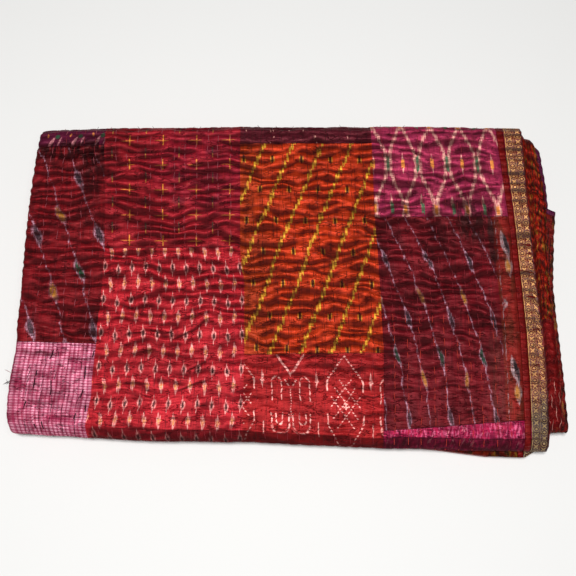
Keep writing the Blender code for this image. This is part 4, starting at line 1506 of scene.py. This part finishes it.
def ribbon_material(name, colours):
    """Brocade ribbon: two columns of metal-thread roundels on a silk ground."""
    material, tree, shader = new_material(name)
    u, v = map_place(tree)
    groups = bpy.data.node_groups
    ragged, = place_group(tree, groups["ragged warp threads"], u, v)
    v_drawn = v + ragged * 0.10
    scroll = grain(u, v_drawn, 1.7, 2.1, 21.0, 1.0).ramp(0.45, 0.53)
    metal = abs(u - 0.7).below(0.45, 0.15).most(abs(u - 8.9).below(0.35, 0.15) * 0.5)
    for centre, start, filled in ROUNDEL_COLUMNS:
        cu, cv = u - centre, v_drawn.centred(ROUNDEL_PITCH, start)
        radius = (cu.power(2.0) + cv.power(2.0)).power(0.5)
        gap = abs(radius - 1.9).below(0.62, 0.2)
        roundel = radius.below(3.2, 0.25) * (gap * 0.95).away(1.0)
        fu, fv = u - centre, v_drawn.centred(ROUNDEL_PITCH, start + ROUNDEL_PITCH / 2)
        leaf = lozenge(fu + fv * 0.8, fv, 1.2, 3.2).most(lozenge(fu - fv * 0.9, fv, 1.1, 3.2))
        filler = abs(u - centre).below(3.4, 0.3) * scroll * radius.above(3.9, 0.3) * filled
        metal = metal.most(roundel).most(leaf * 0.9).most(filler)
    worn = grain(u, v, 3.0, 4.0, 9.0, 3.0).ramp(0.28, 0.52)
    threads = (v * (math.tau / 0.8)).sine() * 0.5 + 0.5
    metal = metal.ramp(0.15, 0.80) * (worn * 0.40 + 0.60) * (threads * 0.25 + 0.75)
    patchy = grain(u, v, 5.0, 5.0, 4.0).ramp(0.4, 0.7) * 0.7
    ground = mixed(patchy, colours.ribbon, "300806")
    tarnish = grain(u, v, 20.0, 14.0, 14.0, 3.0).ramp(0.40, 0.70) * 0.35 + v.ramp(225.0, 300.0) * 0.30
    gold = mixed(tarnish, colours.zari, "84501e")
    # Darker towards the front fold: the gold greys and the ground goes nearly black.
    darker_towards_front = (v + grain(u, v, 6.0, 30.0, 24.0) * 60.0).above(335.0, 25.0) * 0.78
    gold = mixed(darker_towards_front, gold, "968660")
    ground = mixed(darker_towards_front, ground, "1c0c06")
    colour = mixed(metal * 0.95, ground, gold)
    colour, height, rough = place_group(tree, groups["used silk with painted shade"], u, v, colour,
                                        painted_valley_shade(tree), metal * 4.0)
    finish_surface(tree, shader, colour, height + metal * 0.30, rough, 1.0 * MM)
    connect(tree, metal * 0.45 + 0.1, shader.inputs["Metallic"])
    shader.inputs["Specular IOR Level"].default_value = 0.5
    return material


# Rows of faces in a strip along each row of the packets' section.
STRIP_ROWS = [60, 36, RIPPLES * ROWS_PER_RIPPLE, 26, 60, 6, 60]


def make_strip(name, span, columns, sizes):
    """A strip of trim that follows the bound edge round every fold."""
    rows = [row + share for row, count in enumerate(STRIP_ROWS) for share in even(count)]
    rows = [round(row, 6) for row in rows] + [float(len(STRIP_ROWS))]
    bm = slab([k / columns for k in range(columns + 1)], rows)
    across, t, outer = parameters(bm)
    rim = 1 - RIM_THINNER * ((across < NEAR) | (across > 1 - NEAR))
    offset = np.where(outer, PRESSED + CLEAR + TRIM * rim, PRESSED + CLEAR)
    places, v, valley = strip_place(span, across, t, offset, sizes)
    mesh = finish_mesh(name, bm, places)
    width = (span[1] - span[0]) * TRIM_WIDTH
    write_map(mesh, across * width, v, valley)
    return mesh


def make_binding(sizes, colours):
    """The plain binding, next to the patches."""
    mesh = make_strip("silk_edge_binding", BINDING_SPAN, 5, sizes)
    material = trim_material("binding_silk", colours)
    return add_piece("silk_edge_binding", mesh, [material], "silk_binding", "binding")


def make_ribbon(sizes, colours):
    """The brocade ribbon, outside the binding."""
    mesh = make_strip("zari_edge_ribbon", RIBBON_SPAN, 14, sizes)
    material = ribbon_material("zari_ribbon_brocade", colours)
    return add_piece("zari_edge_ribbon", mesh, [material], "zari_brocade", "zari_ribbon")


# ---- Threads ----

def thread_material(name, colour):
    """Spun thread, a little fuzzy, with its twist."""
    material, tree, shader = new_material(name)
    u, v = map_place(tree)
    twist = ((u * 2.0 + v * 5.0) * 2.4).sine()
    tone = grain(u, v, 40.0, 60.0, 3.0)
    dark = tuple(0.45 * part for part in colour)
    worn = mixed(twist * 0.25 + tone * 0.5, colour, dark)
    finish_surface(tree, shader, worn, twist, twist * 0.08 + 0.62, 0.1 * MM)
    shader.inputs["Specular IOR Level"].default_value = 0.2
    return material


THREAD_COLOURS = {"dark": "2a0a16", "red": "8e2630", "pink": "ac5660", "brown": "40140a", "orange": "cc4030"}
THREADS = list(THREAD_COLOURS)
THREAD_RINGS, THREAD_SIDES = 7, 5
# Where the running thread changes along the width: dark and orange ones from here to the
# front, brown and pink ones from the back to here.
DARK_FROM, ORANGE_FROM, BROWN_TO, PINK_TO = 259 * MM, 215 * MM, 262 * MM, 137 * MM


def thread_of(u, v, dice_roll):
    """The colour of the running thread at a place on the top, by the column and how far down."""
    if u < SEAM_PLACES[3]:
        return "dark" if v > DARK_FROM else "pink" if dice_roll < 0.5 else "red"
    if u > SEAM_PLACES[1]:
        return "orange" if v > ORANGE_FROM and dice_roll < 0.75 else "red"
    if u > SEAM_PLACES[2]:
        return "brown" if v < BROWN_TO or dice_roll < 0.4 else "red"
    return "pink" if v < PINK_TO and dice_roll < 0.6 else "red"


def straight_thread():
    """A mesh of a closed tube along Z from -0.5 to 0.5, with a unit radius."""
    bm = bmesh.new()
    bmesh.ops.create_cone(bm, cap_ends=True, segments=THREAD_SIDES, radius1=1.0, radius2=1.0, depth=1.0)
    upright = [edge for edge in bm.edges if abs(edge.verts[0].co.z - edge.verts[1].co.z) > 0.5]
    bmesh.ops.subdivide_edges(bm, edges=upright, cuts=THREAD_RINGS - 2)
    mesh = bpy.data.meshes.new("straight_thread")
    bm.to_mesh(mesh)
    bm.free()
    return mesh


def make_tubes(name, lines, radius, kinds):
    """One joined mesh of threads, each tapered, of a kind and along its line of points."""
    pattern = straight_thread()
    shape = np.zeros(len(pattern.vertices) * 3)
    pattern.vertices.foreach_get("co", shape)
    shape = shape.reshape(-1, 3)
    bm = bmesh.new()
    for _ in lines:
        bm.from_mesh(pattern)
    mesh = bpy.data.meshes.new(name)
    bm.to_mesh(mesh)
    bm.free()
    share = shape[:, 2] + 0.5
    ring = np.clip(np.round(share * (THREAD_RINGS - 1)).astype(int), 0, THREAD_RINGS - 1)
    taper = 1 - 0.75 * np.abs(2 * share - 1) ** 4
    places, uvs = [], []
    for number, line in enumerate(lines):
        line = np.array(line)
        ahead = np.gradient(line, axis=0)
        ahead /= np.linalg.norm(ahead, axis=1)[:, None]
        side = np.cross(ahead, (0.0, 0.0, 1.0))
        flat = np.linalg.norm(side, axis=1) < 1e-6
        side[flat] = (1.0, 0.0, 0.0)
        side /= np.linalg.norm(side, axis=1)[:, None]
        up = np.cross(side, ahead)
        girth = radius * taper[:, None]
        places.append(line[ring] + girth * (side[ring] * shape[:, :1] + up[ring] * shape[:, 1:2]))
        length = np.linalg.norm(np.diff(line, axis=0), axis=1).sum()
        uvs.append(np.stack([np.arctan2(shape[:, 1], shape[:, 0]) * radius + number * 0.003,
                             share * length + line[0][1]], axis=1))
    mesh.vertices.foreach_set("co", np.concatenate(places).ravel())
    layer = mesh.uv_layers.new(name="cloth")
    uvs = np.concatenate(uvs)[vertex_of_loop(mesh)]
    layer.data.foreach_set("uv", uvs.astype(np.float32).ravel())
    mesh.polygons.foreach_set("material_index", np.repeat(kinds, len(pattern.polygons)))
    mesh.shade_smooth()
    mesh.update()
    bpy.data.meshes.remove(pattern)
    return mesh


def t_of_ripple(ripples):
    """t at many ripple places, also round the back and the front folds."""
    return np.interp(ripples * RIPPLE_PITCH, V_STARTS, range(len(V_STARTS)))


def surface_line(u, ripple_from, ripple_to, slant):
    """s and t along a thread on the top ply, from one place in ripples to another."""
    places = u + slant * np.linspace(-0.5, 0.5, THREAD_RINGS)
    share = (np.interp(-places, [-place for place in TOP_COLUMNS], range(len(TOP_COLUMNS)))
             / (len(TOP_COLUMNS) - 1))
    return S_TOP_RUN + share, t_of_ripple(np.linspace(ripple_from, ripple_to, THREAD_RINGS))


# Long dark stitches on the check patch: place along the length, start and end along the width
# and slant, in millimetres. Each is three strands side by side.
LONG_STITCHES = table(
    "u start end slant",
    (-271.0, 287.0, 300.0, -0.6), (-271.8, 301.0, 315.0, -1.0),
    (-254.0, 300.0, 321.0, 1.5), (-221.6, 306.0, 316.5, -2.4),
    (-213.8, 261.0, 273.0, -1.2), (-220.0, 283.0, 298.0, 0.8),
    (-258.0, 264.0, 274.5, -3.0), (-278.8, 326.0, 333.0, -2.0),
    (-225.0, 332.0, 341.0, -2.0), (-260.0, 346.0, 356.0, 0.8),
    (-268.5, 350.0, 356.0, 0.6), (-215.0, 322.0, 331.0, 1.4),
)
STRANDS = (-0.35, 0.0, 0.35)
# Most stitches on the check patch are worn away, and the rest are longer and lie askew.
CHECK_START = 252 * MM
HIDDEN, HIDDEN_ON_CHECK = 0.04, 0.5
LONGER_ON_CHECK, ASKEW_ON_CHECK = 1.35, 2.4
# The lines in Y and Z that threads stand away from where they go round the back or front fold.
FOLD_LINE_Y, FOLD_LINE_Z = 160 * MM, 20 * MM


def lifted(line, t, bow):
    """A thread's points lifted off the cloth by its bow."""
    if T_TOP_RUN <= t.mean() <= T_FRONT_FOLD:
        ahead = np.gradient(line, axis=0)
        up = np.cross(np.cross(ahead, (0.0, 0.0, 1.0)), ahead)
    else:
        y, z = line[:, 1], line[:, 2]
        outward = np.sign(y) * np.maximum(np.abs(y) - FOLD_LINE_Y, 1 * MM)
        up = np.stack([y * 0, outward, z - FOLD_LINE_Z], axis=1)
    size = np.maximum(np.linalg.norm(up, axis=1), 1e-9)
    return line + up / size[:, None] * bow[:, None]


def make_stitches(sizes):
    """The rows of running stitch that show on the top ply and round its back and front folds."""
    roll = random.Random(23)
    threads, kinds = [], []
    half = sizes.stitch_length / RIPPLE_PITCH / 2
    for u in STITCH_ROWS:
        for ripple in range(-3, RIPPLES + 3):
            on_check = u < SEAM_PLACES[3] and ripple * RIPPLE_PITCH > CHECK_START
            if roll.random() < (HIDDEN_ON_CHECK if on_check else HIDDEN):
                continue
            middle = ripple + RIPPLE_PEAK - 0.06 + roll.uniform(-0.07, 0.07)
            reach = half * roll.uniform(0.86, 1.12) * (LONGER_ON_CHECK if on_check else 1.0)
            slant = roll.uniform(-1.1, 1.1) * (ASKEW_ON_CHECK if on_check else 1.0) * MM
            place = u + roll.uniform(-0.7, 0.7) * MM
            threads.append(surface_line(place, middle - reach, middle + reach, slant))
            kinds.append(THREADS.index(thread_of(u, (ripple + 0.5) * RIPPLE_PITCH, roll.random())))
    for stitch in LONG_STITCHES:
        start, end = stitch.start * MM / RIPPLE_PITCH, stitch.end * MM / RIPPLE_PITCH
        for strand in STRANDS:
            threads.append(surface_line((stitch.u + strand) * MM, start, end, stitch.slant * MM))
            kinds.append(THREADS.index("dark"))
    s, t = np.concatenate(threads, axis=1)
    places = cloth_place(s, t, np.ones(len(s), bool), sizes)[0].reshape(-1, THREAD_RINGS, 3)
    bow = sizes.stitch_radius * (0.8 - 1.5 * np.abs(np.linspace(-1, 1, THREAD_RINGS)) ** 4)
    lines = [lifted(line, along, bow) for line, along in zip(places, t.reshape(-1, THREAD_RINGS))]
    mesh = make_tubes("running_stitches", lines, sizes.stitch_radius, kinds)
    materials = [thread_material(f"thread_{name}", paint(code)) for name, code in THREAD_COLOURS.items()]
    return add_piece("running_stitches", mesh, materials, "silk_patchwork")


# Loose thread ends: where each starts, the way that it points and its length, in millimetres.
HAIRS = table(
    "x y z along across up length colour",
    (-304.5, -106.0, 33.0, -8.0, -4.2, 1.0, 11.0, "dark"),
    (-304.0, -106.6, 32.6, -8.0, -4.6, 1.5, 10.0, "dark"),
    (-304.5, -105.6, 32.4, -8.0, -4.8, 0.5, 9.5, "dark"),
    (-304.3, -107.2, 32.0, -8.0, -3.6, 1.0, 9.0, "dark"),
    (-304.5, -106.4, 33.4, -7.0, -6.8, 1.0, 8.0, "dark"),
    (-303.5, -102.0, 33.0, -3.0, -7.0, 1.0, 7.0, "dark"),
    (-303.9, -102.4, 32.6, -3.0, -7.4, 1.0, 7.0, "dark"),
    (-304.5, -98.0, 34.0, -8.0, 4.0, 3.0, 9.0, "pink"),
    (-305.0, -111.0, 31.0, -6.0, 4.0, 3.0, 7.0, "brown"),
)


# The shorter ends that stand out along the back edge: how many, their reach in X and their
# height, in millimetres.
BACK_HAIRS, BACK_FROM, BACK_TO, BACK_HEIGHT = 26, -270.0, 262.0, 31.0


def edge_hair(hair, bend):
    """Points of a loose thread end, in millimetres, which droops towards its tip."""
    for k in range(THREAD_RINGS):
        share = k / (THREAD_RINGS - 1)
        reach = hair.length * share / math.hypot(hair.along, hair.across)
        yield (hair.x + hair.along * reach,
               hair.y + hair.across * reach + bend * 3.0 * share ** 2,
               hair.z + hair.up * share - 5.0 * share ** 2)


def back_hair(x, lean, length):
    """Points of a short end, in millimetres, which follows the roll of the back edge."""
    back = float(packet_ends(np.array([x * MM]))["back"][0]) / MM
    for k in range(THREAD_RINGS):
        yield (x + lean * length * k / (THREAD_RINGS - 1),
               back + 8.0 + 4.6 * math.sin(0.25 + k * 0.09) + length * k / 8,
               BACK_HEIGHT + 1.0 * math.sin(k))


def make_hairs(sizes):
    """Loose ends of thread at the left edge and along the back edge."""
    roll = random.Random(5)
    lines, kinds = [], []
    for hair in HAIRS:
        lines.append(list(edge_hair(hair, roll.uniform(-1.0, 1.0))))
        kinds.append(THREADS.index(hair.colour))
    for _ in range(BACK_HAIRS):
        x, lean, length = (roll.uniform(*ends) for ends in ((BACK_FROM, BACK_TO), (-1.2, 1.2), (2.0, 5.0)))
        lines.append(list(back_hair(x, lean, length)))
        kinds.append(THREADS.index(roll.choice(["dark", "red", "brown"])))
    mesh = make_tubes("loose_threads", np.array(lines) * MM, sizes.hair_radius, kinds)
    materials = [bpy.data.materials[f"thread_{name}"] for name in THREADS]
    return add_piece("loose_threads", mesh, materials, "silk_patchwork")


# ---- Stage ----

def floor_material(colour):
    """Plain pale studio sheet."""
    material, tree, shader = new_material("studio_sheet")
    place = tree.nodes.new("ShaderNodeTexCoord")
    x, y = millimetres(tree, place.outputs["Object"])
    soft = grain(x, y, 300.0, 300.0, 1.0)
    connect(tree, mixed(soft * 0.10, colour, (0.70, 0.71, 0.73)), shader.inputs["Base Color"])
    shader.inputs["Roughness"].default_value = 0.9
    return material


def area_light(name, place, size, power, colour):
    """A round soft light that points at the middle of the floor."""
    data = bpy.data.lights.new(name, "AREA")
    data.shape = "DISK"
    data.size = size
    data.energy = power
    data.color = colour
    lamp = bpy.data.objects.new(name, data)
    bpy.context.scene.collection.objects.link(lamp)
    lamp.location = place
    lamp.rotation_euler = (-Vector(place)).to_track_quat("-Z", "Y").to_euler()


LENS, SENSOR = 56.25, 36.0
CAMERA_PLACE = (-0.0015, -0.2651, 1.0092)
FLOOR_HALF, FLOOR_DROP = 4.0, 0.3 * MM      # the floor lies just under the cloth's lowest face


def make_stage(settings):
    """The floor, the lights, the even sky and the camera."""
    bm = bmesh.new()
    bmesh.ops.create_grid(bm, x_segments=1, y_segments=1, size=FLOOR_HALF)
    mesh = bpy.data.meshes.new("studio_floor")
    bm.to_mesh(mesh)
    bm.free()
    floor = bpy.data.objects.new("studio_floor", mesh)
    floor.location.z = -FLOOR_DROP
    bpy.context.scene.collection.objects.link(floor)
    mesh.materials.append(floor_material(settings.floor))
    area_light("key_light", (-0.12, -0.24, 2.0), 0.30, settings.key, (1.0, 0.99, 0.975))
    area_light("fill_light", (0.3, -0.35, 2.2), 1.0, settings.fill, (0.98, 0.99, 1.0))
    world = bpy.data.worlds.new("studio_sky")
    world.use_nodes = True
    sky = world.node_tree.nodes["Background"]
    sky.inputs["Color"].default_value = (0.98, 0.99, 1.0, 1.0)
    sky.inputs["Strength"].default_value = settings.sky
    scene = bpy.context.scene
    scene.world = world
    scene.view_settings.view_transform = "Standard"
    data = bpy.data.cameras.new("camera")
    data.lens = LENS
    data.sensor_width = SENSOR
    camera = bpy.data.objects.new("camera", data)
    camera.location = CAMERA_PLACE
    camera.rotation_euler = (settings.tilt, 0.0, 0.0)
    scene.collection.objects.link(camera)
    scene.camera = camera


# ---- Operators and panel ----

class QUILT_OT_cloth(bpy.types.Operator):
    """Fold the patchwork cloth, with its ripples and its silks"""
    bl_idname = "quilt.cloth"
    bl_label = "Folded patchwork cloth"

    def execute(self, context):
        make_cloth(context.scene.quilt_sizes, context.scene.quilt_colours)
        return {"FINISHED"}


class QUILT_OT_binding(bpy.types.Operator):
    """Sew the plain red binding along the bound edge"""
    bl_idname = "quilt.binding"
    bl_label = "Red binding"

    def execute(self, context):
        make_binding(context.scene.quilt_sizes, context.scene.quilt_colours)
        return {"FINISHED"}


class QUILT_OT_ribbon(bpy.types.Operator):
    """Sew the metal-thread ribbon beside the binding"""
    bl_idname = "quilt.ribbon"
    bl_label = "Zari ribbon"

    def execute(self, context):
        make_ribbon(context.scene.quilt_sizes, context.scene.quilt_colours)
        return {"FINISHED"}


class QUILT_OT_stitches(bpy.types.Operator):
    """Work the rows of running stitch"""
    bl_idname = "quilt.stitches"
    bl_label = "Running stitches"

    def execute(self, context):
        make_stitches(context.scene.quilt_sizes)
        return {"FINISHED"}


class QUILT_OT_hairs(bpy.types.Operator):
    """Leave a few loose ends of thread at the edges"""
    bl_idname = "quilt.hairs"
    bl_label = "Loose threads"

    def execute(self, context):
        make_hairs(context.scene.quilt_sizes)
        return {"FINISHED"}


class QUILT_OT_stage(bpy.types.Operator):
    """Lay the floor and set the lights and the camera"""
    bl_idname = "quilt.stage"
    bl_label = "Studio"

    def execute(self, context):
        make_stage(context.scene.quilt_stage)
        return {"FINISHED"}


OPERATORS = [QUILT_OT_cloth, QUILT_OT_binding, QUILT_OT_ribbon, QUILT_OT_stitches, QUILT_OT_hairs,
             QUILT_OT_stage]


class QUILT_PT_panel(bpy.types.Panel):
    """Everything that the quilt is made of"""
    bl_label = "Kantha quilt"
    bl_idname = "QUILT_PT_panel"
    bl_space_type = "VIEW_3D"
    bl_region_type = "UI"
    bl_category = "Quilt"

    def draw(self, context):
        for operator in OPERATORS:
            self.layout.operator(operator.bl_idname)
        for settings in (context.scene.quilt_sizes, context.scene.quilt_colours, context.scene.quilt_stage):
            column = self.layout.column()
            for name in settings.__annotations__:
                column.prop(settings, name)


GROUPS = {"quilt_sizes": QuiltSizes, "quilt_colours": PatchColours, "quilt_stage": StageSettings}


def register():
    for group in GROUPS.values():
        bpy.utils.register_class(group)
    for name, group in GROUPS.items():
        setattr(bpy.types.Scene, name, bpy.props.PointerProperty(type=group))
    for operator in OPERATORS:
        bpy.utils.register_class(operator)
    bpy.utils.register_class(QUILT_PT_panel)


def unregister():
    bpy.utils.unregister_class(QUILT_PT_panel)
    for operator in reversed(OPERATORS):
        bpy.utils.unregister_class(operator)
    for name, group in GROUPS.items():
        delattr(bpy.types.Scene, name)
        bpy.utils.unregister_class(group)


def main():
    """Register the add-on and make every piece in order."""
    register()
    for operator in OPERATORS:
        family, name = operator.bl_idname.split(".")
        getattr(getattr(bpy.ops, family), name)()


if __name__ == "__main__":
    main()
